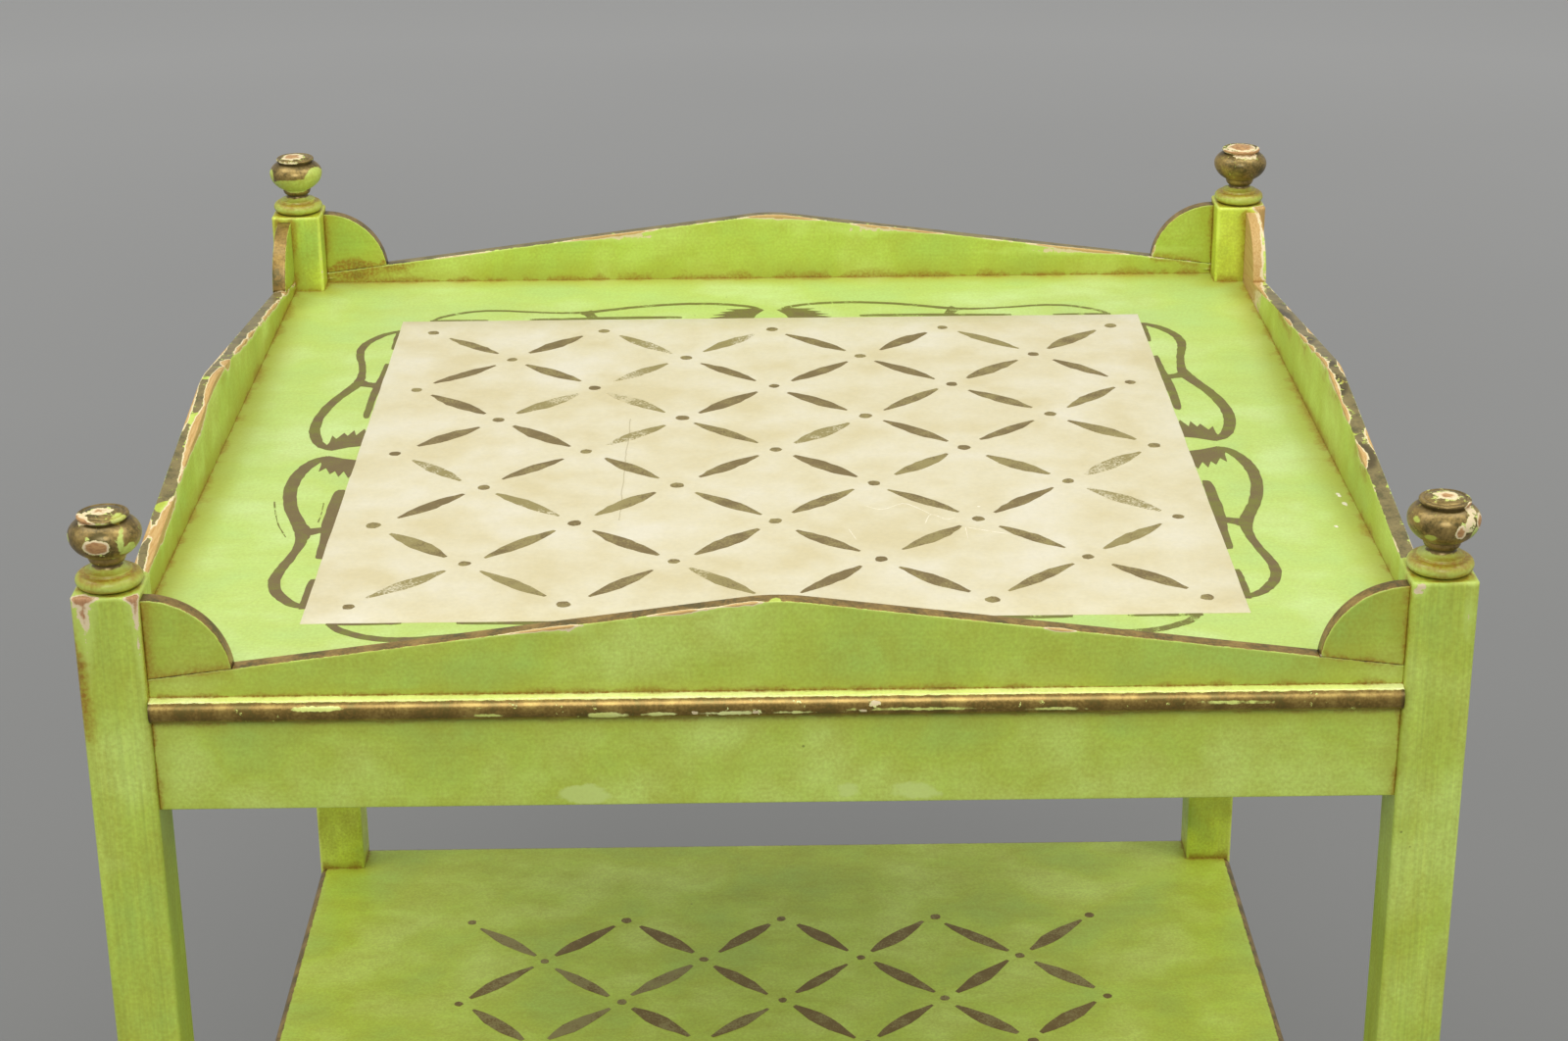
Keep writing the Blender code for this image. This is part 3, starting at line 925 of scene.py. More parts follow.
@dataclass
class Leg:
    """Square leg with eased edges, rubbed at its top."""

    lines: TableLines
    edge: float = 1.8 * MM
    end_ease: float = 0.6 * MM
    slack: Flat = (0.1 * MM, 0.2 * MM)   # how far a hollowed point may lie off the top, off a face
    edge_steps: int = 5
    face_points: int = 15
    level_step: float = 12 * MM
    fine_step: float = 1 * MM
    fine_zone: float = 37 * MM
    least_step: float = 0.4 * MM
    seat_rows: tuple[float, ...] = (-4, -1.5, 0, 1.5, 4, 8)    # rings by a seat, in millimetres
    top_shares: tuple[float, ...] = (0.96, 0.9, 0.75, 0.5)
    finial_foot: float = 10.2 * MM
    edge_wear: Wear = Wear(0.5, 1.0 * MM)
    top_wear: Wear = Wear(0.35, 2.0 * MM)
    hollows: Flat = (0.12 * MM, 30 * MM)

    def outline(self, inset: float) -> list[Flat]:
        """Cross-section of the leg.

        Args:
            inset: how far it is drawn in all round.

        Returns:
            Its points round the leg's middle.
        """
        half = self.lines.stock / 2 - inset
        radius = self.edge - inset
        points = []
        for quarter in range(4):
            spin = Matrix.Rotation(math.radians(90 * quarter), 2)
            ring = arc((half - radius, half - radius), radius, 0, 90, self.edge_steps)
            ring += [((1 - 2 * i / (self.face_points + 1)) * (half - radius), half)
                     for i in range(1, self.face_points + 1)]
            points += [tuple(spin @ Vector(point)) for point in ring]
        return points

    def levels(self) -> list[float]:
        """Heights of the leg's rings below its eased top."""
        seats = [level for pair in self.lines.shelves.values() for level in pair] + [self.lines.tray]
        top = self.lines.leg_top - self.end_ease
        levels = {self.end_ease, top}
        step = self.level_step
        levels |= {self.end_ease + step * i for i in range(1, int(top / step))}
        levels |= {top - self.fine_step * i for i in range(1, int(self.fine_zone / self.fine_step))}
        for seat in seats:
            levels |= {seat + offset * MM for offset in self.seat_rows}
        spaced = []
        for level in sorted(levels):
            if level <= top and (not spaced or level - spaced[-1] >= self.least_step):
                spaced.append(level)
        return spaced

    def marks(self, point: Vector) -> Marks:
        """Marks of a point on the front left leg.

        Args:
            point: the point.

        Returns:
            Its marks.
        """
        lines = self.lines
        half = lines.stock / 2
        across = sorted((half - abs(point.x + lines.leg_centre), half - abs(point.y + lines.leg_centre)))
        below = lines.leg_top - point.z
        worn = max(self.edge_wear.at(across[0] + across[1] - (2 - math.sqrt(2)) * self.edge),
                   self.top_wear.at(below + across[0] - self.end_ease))
        seams = []
        for u, v in ((point.x, point.y), (point.y, point.x)):
            for face in (lines.board_out, lines.board_in):
                past = max(lines.board_bottom - point.z, point.z - lines.ear_top, 0)
                seams.append(math.hypot(u + lines.leg_face, v + face) + past)
            if u > -lines.leg_face - self.slack[1]:
                for low, high in lines.shelves.values():
                    seams += [abs(point.z - low), abs(point.z - high)]
                seams.append(abs(point.z - lines.tray))
        if below < self.slack[0]:
            out = math.hypot(point.x + lines.leg_centre, point.y + lines.leg_centre)
            seams.append(abs(out - self.finial_foot))
        return Marks(worn, min(seams))

    def build(self, corner: Corner, spots: tuple[Spot, ...], material: bpy.types.Material) -> None:
        """Build one leg.

        Args:
            corner: where it stands.
            spots: its rubbed places.
            material: its finish.
        """
        centre, top = -self.lines.leg_centre, self.lines.leg_top
        eased, full = self.outline(self.end_ease), self.outline(0)
        rings = [(eased, 0.0)] + [(full, level) for level in self.levels()] + [(eased, top)]
        rings += [([(x * share, y * share) for x, y in eased], top) for share in self.top_shares]
        name = "leg_" + corner.label
        mesh = loft(name, [[(centre + x, centre + y, level) for x, y in ring] for ring, level in rings])
        Piece(name, mesh, "green_paint", corner.value, (name,), spots).finish(
            self.marks, material, self.hollows)


@dataclass
class Finial:
    """Turned finial: green foot, glazed neck and rubbed bronze ball."""

    lines: TableLines
    seat: float = 0.3 * MM
    foot: Flat = (11.1 * MM, 4.8 * MM)
    fillet: Flat = (7.9 * MM, 1.0 * MM)
    neck: float = 4.7 * MM
    cove: float = 2.2 * MM
    cup: Flat = (6.4 * MM, 2.8 * MM)
    ball: float = 12.0 * MM
    ball_halves: Flat = (8.8 * MM, 6.8 * MM)
    ball_foot: float = 6.6 * MM
    groove: Flat = (7.8 * MM, 0.4 * MM)
    shoulder: float = 8.2 * MM
    cap: Flat = (8.6 * MM, 1.7 * MM)
    dome: Flat = (6.7 * MM, 1.1 * MM)
    channel: float = 0.3 * MM
    turning_steps: int = 96
    curve_steps: int = 10
    rim_wear: Wear = Wear(0.6, 1.6 * MM)
    hollows: Flat = (0.18 * MM, 7 * MM)

    def profile(self) -> list[Flat]:
        """Radius and height of the turning, from its seat up to its top."""
        steps, ease, half_foot = self.curve_steps, 0.2 * MM, self.foot[1] / 2
        points = arc((self.foot[0] - half_foot, half_foot), half_foot, -90, 90, steps * 2)
        level = self.foot[1]
        points += [(self.fillet[0] + ease, level), (self.fillet[0], level + ease)]
        level += self.fillet[1]
        points += [(self.fillet[0], level - ease), (self.fillet[0] - ease, level)]
        level += self.cove
        points += arc((self.fillet[0], level), self.fillet[0] - self.neck, -90, -180, steps, self.cove)[1:]
        level += self.cup[1]
        points += arc((self.neck, level), self.cup[0] - self.neck, -90, 0, steps, self.cup[1])[1:]
        low, high = self.ball_halves
        start, end = (math.acos(radius / self.ball) for radius in (self.ball_foot, self.shoulder))
        level += low * math.sin(start)
        points += arc((0, level), self.ball, -math.degrees(start), 0, steps, low)
        points += arc((0, level), self.ball, 0, math.degrees(end), steps, high)[1:]
        level += high * math.sin(end)
        points += [(self.groove[0], level + self.groove[1] / 4), (self.groove[0], level + self.groove[1])]
        level += self.groove[1]
        half_cap = self.cap[1] / 2
        points += arc((self.cap[0] - half_cap, level + half_cap), half_cap, -80, 100, steps)
        level += self.cap[1] - self.channel
        return points + arc((0, level), self.dome[0], 0, 86, steps, self.dome[1])

    def marks(self, point: Vector) -> Marks:
        """Marks of a point on the front left finial.

        Args:
            point: the point.

        Returns:
            Its marks.
        """
        centre = self.lines.leg_centre
        out = math.hypot(point.x + centre, point.y + centre)
        level = point.z - self.lines.leg_top - self.seat
        fillet = self.foot[1] + self.fillet[1]
        neck = fillet + self.cove
        top = self.lines.finial_top - self.lines.leg_top - self.seat
        groove = top - self.dome[1] - self.cap[1] + self.channel
        seam = min(abs(level - hollow) for hollow in (0.0, self.foot[1], neck, groove))
        rim = math.hypot(out - self.cap[0], level - groove - self.cap[1] / 2)
        return Marks(self.rim_wear.at(rim), seam, level - neck + self.cove / 2)

    def build(self, corner: Corner, spots: tuple[Spot, ...], material: bpy.types.Material) -> None:
        """Build one finial.

        Args:
            corner: whose leg it stands on.
            spots: its rubbed places.
            material: its finish.
        """
        centre = -self.lines.leg_centre
        base = self.lines.leg_top + self.seat
        rings = []
        for radius, level in self.profile():
            circle = arc((centre, centre), radius, 0, 360, self.turning_steps)[:-1]
            rings.append([(x, y, base + level) for x, y in circle])
        name = "finial_" + corner.label
        Piece(name, loft(name, rings, sharp=50), "bronze_paint", corner.value, (name,), spots).finish(
            self.marks, material, self.hollows)


@dataclass
class GallerySide:
    """One side: gabled board, its two quarter-round ears and the bead along its apron."""

    lines: TableLines
    shoulder_rise: float = 4.8 * MM
    gable_rise: float = 30.9 * MM
    gable_round: float = 10 * MM
    gap: float = 0.3 * MM
    sink: float = 0.1 * MM       # how far a glued end goes into its leg, so that no light passes
    arris: float = 0.5 * MM
    arris_steps: int = 3
    top_wear: tuple[tuple[Wear, Wear], ...] = (       # outside and inside, by side
        (Wear(0.72, 1.1 * MM), Wear(0.4, 0.8 * MM)), (Wear(0.85, 1.1 * MM), Wear(0.85, 1.2 * MM)),
        (Wear(0.5, 1.0 * MM), Wear(0.85, 1.4 * MM)), (Wear(0.7, 1.5 * MM), Wear(1.05, 3.6 * MM)))
    ear_wear: Wear = Wear(0.62, 1.0 * MM)
    under_wear: Wear = Wear(0.5, 1.0 * MM)
    tip_wear: Wear = Wear(0.7, 2.5 * MM)
    ear_radius: float = 28 * MM
    ear_steps: int = 28
    bead_radius: float = 4.5 * MM
    bead_steps: int = 18
    gilding_angle: float = 53.0   # degrees above the horizontal where the bead's bronze stops
    station: float = 1.25 * MM
    slack: float = 0.1 * MM      # how far a hollowed point may lie behind its face
    board_hollows: Flat = (0.12 * MM, 34 * MM)
    bead_hollows: Flat = (0.15 * MM, 14 * MM)
    # Rows of the mesh, in millimetres from an end, the edges, the bead and the tray
    end_rows: tuple[float, ...] = (0, 0.5, 1, 2, 3.5, 5.5, 8)
    top_rows: tuple[float, ...] = (3.2, 2.0, 1.2)
    foot_rows: tuple[float, ...] = (1.2, 3, 6, 12, 20)
    inner_foot_rows: tuple[float, ...] = (1.2, 12)
    under_bead_rows: tuple[float, ...] = (4, 1.5, 0)
    over_bead_rows: tuple[float, ...] = (0, 0.8, 1.8)
    tray_rows: tuple[float, ...] = (-3, 0, 0.8, 1.8)
    row_shares: tuple[float, ...] = (0.25, 0.5, 0.75)       # rows between two others
    # Rings of an ear: shares of its outline, insets in millimetres and shares of its thickness
    ear_shares: tuple[float, ...] = (0.2, 0.4, 0.55, 0.7)
    ear_insets: tuple[float, ...] = (2.2, 1.5, 1.0)
    ear_depths: tuple[float, ...] = (0.2, 0.35, 0.5)
    ear_heart: float = 0.4       # where the rings' middle lies, as a share of the radius

    @property
    def slope(self) -> float:
        """Rise of the gable for each metre along it."""
        return (self.gable_rise - self.shoulder_rise) / self.lines.leg_face

    def top(self, x: float) -> float:
        """Height of the board's top edge at a distance from its middle."""
        peak = self.lines.tray + self.gable_rise
        if abs(x) >= self.gable_round:
            return peak - self.slope * abs(x)
        drop = self.slope * (self.gable_round ** 2 + x * x) / (2 * self.gable_round)
        return peak - drop

    def stations(self) -> list[float]:
        """Places along the side, closer near its ends."""
        end = self.lines.leg_face + self.sink
        near = [end - offset * MM for offset in self.end_rows]
        count = int(near[-1] / self.station)
        middle = [near[-1] * i / count for i in range(-count + 1, count)]
        return sorted([-x for x in near] + middle + near)

    def section(self, x: float) -> list[Flat]:
        """Cross-section of the board at one place along it.

        Args:
            x: the place.

        Returns:
            Depth and height of its points.
        """
        lines, steps, ease = self.lines, self.arris_steps, self.arris
        out, back, low, high = -lines.board_out, -lines.board_in, lines.board_bottom, self.top(x)
        upper = [high - offset * MM for offset in self.top_rows]
        front = [low + offset * MM for offset in self.foot_rows]
        front += [lines.bead_low - offset * MM for offset in self.under_bead_rows]
        front += [lines.bead_high + offset * MM for offset in self.over_bead_rows]
        inner = [low + offset * MM for offset in self.inner_foot_rows]
        inner += [lines.tray + offset * MM for offset in self.tray_rows]
        for rows in (front, inner):
            rows += [rows[-1] + (upper[0] - rows[-1]) * share for share in self.row_shares] + upper
        points = arc((out + ease, low + ease), ease, 270, 180, steps)
        points += [(out, z) for z in front]
        points += arc((out + ease, high - ease), ease, 180, 90, steps)
        points += [(out + (back - out) * share, high) for share in self.row_shares]
        points += arc((back - ease, high - ease), ease, 90, 0, steps)
        points += [(back, z) for z in reversed(inner)]
        return points + arc((back - ease, low + ease), ease, 0, -90, steps)

    def rub(self, side: Side, x: float, length: float, width: float, most: float, inner: bool) -> Spot:
        """A worn stretch of a board's top arris, from millimetres.

        Args:
            side: the board.
            x: how far along the board its middle is.
            length: how long it is.
            width: how far it reaches down each face.
            most: how deep the wear goes, as Spot.near takes it.
            inner: whether it is the arris towards the tray.

        Returns:
            The spot.
        """
        face = self.lines.board_in if inner else self.lines.board_out
        place = (x * MM, -face, self.top(x * MM))
        spot = Spot.near(place, (0, 0, 0), (length / 2, width, width), 0.7, most)
        return spot.turned(quarter_turns(side.value))

    def depths(self, point: Vector) -> Flat:
        """How far a point of the front board lies behind its outer and its inner face."""
        return max(point.y + self.lines.board_out, 0), max(-self.lines.board_in - point.y, 0)

    def board_marks(self, point: Vector, wear: tuple[Wear, Wear]) -> Marks:
        """Marks of a point on the front board.

        Args:
            point: the point.
            wear: of its top's outer and inner arris.

        Returns:
            Its marks.
        """
        lines = self.lines
        from_out, from_in = self.depths(point)
        face = min(from_out, from_in)
        under = max(self.top(point.x) - point.z, 0)
        above = max(point.z - lines.board_bottom, 0)
        end = lines.leg_face - abs(point.x)
        seams = [end]
        if from_out < self.slack:
            seams.append(max(point.z - lines.bead_high, lines.bead_low - point.z, 0))
        if from_in < self.slack:
            seams.append(abs(point.z - lines.tray))
        if end < self.ear_radius:
            seams.append(under)
        worn = max(wear[0].at(under + from_out), wear[1].at(under + from_in),
                   self.under_wear.at(above + face))
        return Marks(worn, min(seams), face - under)

    def build_board(self, side: Side, spots: tuple[Spot, ...], touches: tuple[Spot, ...],
                    material: bpy.types.Material) -> None:
        """Build one board.

        Args:
            side: where it stands.
            spots: its rubbed places.
            touches: where it was touched up.
            material: its finish.
        """
        name = "side_board_" + side.label
        mesh = loft(name, [[(x, y, z) for y, z in self.section(x)] for x in self.stations()])
        Piece(name, mesh, "green_paint", side.value, (name,), spots, touches).finish(
            lambda point: self.board_marks(point, self.top_wear[side.value]), material,
            self.board_hollows)

    @property
    def ear_tip(self) -> float:
        """Distance of an ear's tip from the leg's face, where its round meets the board's slope."""
        above = self.lines.tray + self.shoulder_rise - self.lines.ear_top + self.ear_radius
        a = 1 + self.slope ** 2
        b = 2 * self.slope * above
        c = above ** 2 - self.ear_radius ** 2
        return (-b + math.sqrt(b * b - 4 * a * c)) / (2 * a)

    def ear_outline(self) -> list[Flat]:
        """Quarter round on the board's slope: distance from the leg's face, and height."""
        lines = self.lines
        centre = lines.ear_top - self.ear_radius
        seat = lines.tray + self.shoulder_rise - self.sink
        tip = self.ear_tip
        start = math.degrees(math.atan2(seat + self.slope * tip - centre, tip))
        count = self.ear_steps // 2
        outline = [(tip * i / count, seat + self.slope * tip * i / count) for i in range(count)]
        outline += arc((0, centre), self.ear_radius, start, 90, self.ear_steps)
        end = lines.ear_top
        outline += [(-self.sink, end - (end - seat) * i / count) for i in range(count)]
        return outline

    def ear_marks(self, point: Vector) -> Marks:
        """Marks of a point on either ear of the front board.

        Args:
            point: the point.

        Returns:
            Its marks.
        """
        lines = self.lines
        out = lines.leg_face - abs(point.x)
        centre = lines.ear_top - self.ear_radius
        inside = max(self.ear_radius - math.hypot(out, point.z - centre), 0)
        from_out, from_in = self.depths(point)
        seat = point.z - self.top(point.x)
        worn = max(self.ear_wear.at(inside + min(from_out, from_in)),
                   self.tip_wear.at(math.hypot(out - self.ear_tip, seat)))
        return Marks(worn, max(min(out, seat), 0), min(from_out, from_in) - inside)

    def build_ears(self, side: Side, spots: tuple[Spot, ...], material: bpy.types.Material) -> None:
        """Build the two ears that stand on one board.

        Args:
            side: whose board they stand on.
            spots: their rubbed places.
            material: their finish.
        """
        lines = self.lines
        flat = self.ear_outline()
        heart = self.ear_radius * self.ear_heart
        middle = (heart, lines.tray + self.shoulder_rise + heart)
        depth = lines.board_out - lines.board_in
        layers = [(share, 0.0, 0.0) for share in self.ear_shares]
        layers += [(1.0, inset * MM, 0.0) for inset in self.ear_insets]
        layers += [(1.0, inset, y) for inset, y in rounding(self.arris, self.arris_steps)]
        layers += [(1.0, 0.0, depth * share) for share in self.ear_depths]
        mirrored = [(share, inset, depth - y) for share, inset, y in reversed(layers[:-1])]
        for end, sign in zip(side.ends, (-1, 1)):
            rings = []
            for share, inset, y in layers + mirrored:
                ring = []
                for x, z in flat:
                    away = Vector((x - middle[0], z - middle[1]))
                    away *= share * (1 - inset / away.length)
                    ring.append((sign * (lines.leg_face - middle[0] - away.x),
                                 y - lines.board_out, middle[1] + away.y))
                rings.append(ring)
            name = f"ear_{side.label}_{end}"
            Piece(name, loft(name, rings), "green_paint", side.value, (name,), spots).finish(
                self.ear_marks, material)

    def bead_marks(self, point: Vector) -> Marks:
        """Marks of a point on the front bead.

        Args:
            point: the point.

        Returns:
            Its marks.
        """
        lines = self.lines
        level = point.z - lines.bead_level
        out = -lines.board_out - self.gap - point.y
        angle = math.degrees(math.atan2(level, max(out, 0.001 * MM)))
        reach = math.radians(90 - abs(angle)) * self.bead_radius
        gilt = math.radians(self.gilding_angle - angle) * self.bead_radius
        return Marks(0.0, min(reach, lines.leg_face - abs(point.x)), gilt)

    def build_bead(self, side: Side, spots: tuple[Spot, ...], material: bpy.types.Material) -> None:
        """Build the bead along one board.

        Args:
            side: whose board it lies on.
            spots: its rubbed places.
            material: its finish.
        """
        level, radius = self.lines.bead_level, self.bead_radius
        seat = self.sink - self.lines.board_out
        section = [(seat, level + radius)]
        section += arc((-self.lines.board_out - self.gap, level), radius, 90, 270, self.bead_steps)
        section.append((seat, level - radius))
        name = "bead_" + side.label
        mesh = loft(name, [[(x, y, z) for y, z in section] for x in self.stations()], sharp=60)
        Piece(name, mesh, "bronze_paint", side.value, (name,), spots).finish(
            self.bead_marks, material, self.bead_hollows)


@dataclass
class Tier:
    """A level board, notched round the legs: the tray board or an open shelf."""

    lines: TableLines
    name: str
    reach: float
    low: float
    high: float
    edge: float
    walled: bool
    edge_steps: int = 4
    near: tuple[float, ...] = (0.6, 1.4, 3, 6, 10, 16, 24)     # cuts near its edge, in millimetres
    spacing: float = 24 * MM
    sink: float = 0.05 * MM    # how far its notches go into the legs, so that no light passes
    gilding: float = 3.4 * MM
    edge_wear: Wear = Wear(0.5, 2.0 * MM)
    sharp: float = 40.0        # angle in degrees from which an edge stays sharp

    def outline(self, inset: float) -> list[Flat]:
        """Outline of the board, anticlockwise.

        Args:
            inset: how far its free edges are drawn in.

        Returns:
            Its corners.
        """
        edge = self.reach - inset
        notch = self.lines.leg_face + self.sink
        points = []
        for x, y in ((1, 1), (-1, 1), (-1, -1), (1, -1)):
            corner = [(x * edge, y * notch), (x * notch, y * notch), (x * notch, y * edge)]
            points += corner if x == y else corner[::-1]
        return points

    def marks(self, point: Vector) -> Marks:
        """Marks of a point on the board.

        Args:
            point: the point.

        Returns:
            Its marks.
        """
        lines = self.lines
        x, y = abs(point.x), abs(point.y)
        leg = math.hypot(max(lines.leg_face - x, 0), max(lines.leg_face - y, 0))
        rim = max(self.reach - max(x, y), 0)
        if self.walled:
            return Marks(0.0, min(leg, rim))
        return Marks(self.edge_wear.at(rim), leg, self.gilding - rim)

    def build(self, spots: tuple[Spot, ...], material: bpy.types.Material) -> None:
        """Build the board.

        Args:
            spots: its rubbed places.
            material: its finish.
        """
        edge = rounding(self.edge, self.edge_steps)
        layers = [(inset, self.low + rise) for inset, rise in edge]
        layers += [(inset, self.high - rise) for inset, rise in reversed(edge)]
        mesh = loft(self.name, [[(x, y, z) for x, y in self.outline(inset)] for inset, z in layers])
        shape = bmesh.new()
        shape.from_mesh(mesh)
        cuts = [self.reach - offset * MM for offset in self.near]
        cuts += [self.lines.leg_face - offset * MM for offset in self.near]
        count = int(min(cuts) / self.spacing)
        cuts += [min(cuts) * i / count for i in range(count)]
        for cut in cuts:
            for axis in (Vector((1, 0, 0)), Vector((0, 1, 0))):
                for sign in {1.0, -1.0} if cut else {1.0}:
                    bmesh.ops.bisect_plane(shape, geom=shape.verts[:] + shape.edges[:] + shape.faces[:],
                                           plane_co=axis * cut * sign, plane_no=axis, dist=1e-6)
        shape.to_mesh(mesh)
        shape.free()
        mesh.shade_smooth()
        mesh.set_sharp_from_angle(angle=math.radians(self.sharp))
        Piece(self.name, mesh, "green_paint", 0, (self.name,), spots).finish(self.marks, material)


@dataclass
class Stencil:
    """Bronze motifs dabbed through a cut stencil, each a thin film of paint."""

    name: str
    level: float
    film: float
    seed: int
    sink: float = 0.05 * MM
    layer: float = 0.01 * MM   # how far each part lies above the last, where they overlap
    layers: int = 6
    parts: int = 0
    points: list[Point] = field(default_factory=list)
    faces: list[tuple[int, ...]] = field(default_factory=list)
    dryness: list[float] = field(default_factory=list)
    chance: random.Random = field(init=False)

    def __post_init__(self) -> None:
        """Start the stencil's own random draws."""
        self.chance = random.Random(self.seed)

    def faces_of_part(self) -> Flat:
        """Heights of the next part's top and underside."""
        self.parts += 1
        return self.level + self.film + self.layer * (self.parts % self.layers), self.level - self.sink

    def strip(self, spine: Sequence[Flat], widths: Sequence[float], dry: Sequence[float]) -> None:
        """Add a stroke of changing width.

        Args:
            spine: points along its middle.
            widths: its width at each point.
            dry: how dry the brush was at each point.
        """
        sides = []
        for i, place in enumerate(spine):
            before, after = spine[max(i - 1, 0)], spine[min(i + 1, len(spine) - 1)]
            along = Vector((after[0] - before[0], after[1] - before[1])).normalized()
            across = Vector((-along.y, along.x)) * widths[i] / 2
            middle = Vector(place)
            sides.append((middle + across, middle - across))
        first = len(self.points)
        heights = self.faces_of_part()
        for (left, right), thin in zip(sides, dry):
            for z in heights:
                self.points += [(left.x, left.y, z), (right.x, right.y, z)]
                self.dryness += [thin, thin]
        for i in range(len(spine) - 1):
            a, b = first + i * 4, first + i * 4 + 4
            self.faces += [(a, a + 1, b + 1, b), (a + 2, b + 2, b + 3, a + 3),
                           (a, b, b + 2, a + 2), (a + 1, a + 3, b + 3, b + 1)]
        last = first + (len(spine) - 1) * 4
        self.faces += [(first, first + 2, first + 3, first + 1), (last, last + 1, last + 3, last + 2)]

    def patch(self, outline: Sequence[Flat], dry: float) -> None:
        """Add a flat shape.

        Args:
            outline: its corners.
            dry: how dry the brush was.
        """
        first, count = len(self.points), len(outline)
        for z in self.faces_of_part():
            self.points += [(x, y, z) for x, y in outline]
            self.dryness += [dry] * count
        top = list(range(first, first + count))
        self.faces += [tuple(top), tuple(i + count for i in reversed(top))]
        for i, a in enumerate(top):
            b = top[(i + 1) % count]
            self.faces.append((b, a, a + count, b + count))

    def spread(self) -> None:
        """Lay out the parts, which each kind of stencil does in its own way."""
        raise NotImplementedError

    def build(self, material: bpy.types.Material, slot: str) -> None:
        """Put the stencil's paint on its board.

        Args:
            material: its finish.
            slot: the record's slot, stored with the piece and not used.
        """
        self.spread()
        mesh = solid(self.name, self.points, self.faces)
        mesh.attributes.new(DRY, "FLOAT", "POINT").data.foreach_set("value", self.dryness)
        Piece(self.name, mesh, slot).place(material)


@dataclass
class Lattice(Stencil):
    """Diamond lattice of dots with a leaf on every diagonal between them."""

    centre: Flat = (0.0, 0.0)
    pitch: float = 37.6 * MM
    count: int = 9
    leaf_length: float = 33 * MM
    leaf_width: float = 6.8 * MM
    dot: float = 5.0 * MM
    dry_most: float = 0.5
    leaf_shares: tuple[float, ...] = (0.2, 0.46, 0.7, 0.88, 0.98, 1.0, 0.95, 0.84, 0.64, 0.4, 0.16)

    def leaf(self, place: Flat, angle: float) -> None:
        """Add one leaf.

        Args:
            place: its middle.
            angle: which way it points, in radians.
        """
        draw = self.chance
        angle += math.radians(draw.uniform(-3, 3))
        along = Vector((math.cos(angle), math.sin(angle)))
        across = Vector((-along.y, along.x))
        length = self.leaf_length * draw.uniform(0.93, 1.06)
        width = self.leaf_width * draw.uniform(0.85, 1.12)
        middle = Vector(place) + Vector((draw.uniform(-1, 1), draw.uniform(-1, 1))) * MM
        bow = draw.uniform(-0.5, 0.5) * MM
        dry = draw.random() ** 2 * self.dry_most
        tilt = draw.uniform(-0.5, 0.5) * dry
        shares = self.leaf_shares if draw.random() < 0.5 else self.leaf_shares[::-1]
        last = len(shares) - 1
        spine, widths, dryness = [], [], []
        for i, share in enumerate(shares):
            t = i / last - 0.5
            point = middle + along * length * t + across * bow * (1 - 4 * t * t)
            point += across * draw.uniform(-0.22, 0.22) * MM
            spine.append(tuple(point))
            widths.append(width * share * draw.uniform(0.9, 1.08))
            dryness.append(max(dry + tilt * 2 * t, 0.0))
        self.strip(spine, widths, dryness)

    def spread(self) -> None:
        """Lay out the whole lattice."""
        draw = self.chance
        middle = (self.count - 1) / 2
        for i in range(self.count):
            for j in range(self.count):
                x = self.centre[0] + (i - middle) * self.pitch
                y = self.centre[1] + (j - middle) * self.pitch
                if (i + j) % 2 == 0:
                    radius = self.dot / 2 * draw.uniform(0.85, 1.12)
                    ring = arc((x + draw.uniform(-0.4, 0.4) * MM, y), radius, 0, 360, 11)[:-1]
                    self.patch([(u + draw.uniform(-0.25, 0.25) * MM, v + draw.uniform(-0.25, 0.25) * MM)
                                for u, v in ring], draw.uniform(0, 0.2))
                if i < self.count - 1 and j < self.count - 1:
                    way = 45 if (i + j) % 2 == 0 else 135
                    self.leaf((x + self.pitch / 2, y + self.pitch / 2), math.radians(way))


@dataclass(frozen=True)
class Hand:
    """How one motif was dabbed: scales of its widths, how dry the brush was and how far it slid."""

    stroke: float
    bridge: float
    bars: float
    dry: float
    slide: float = 0.0


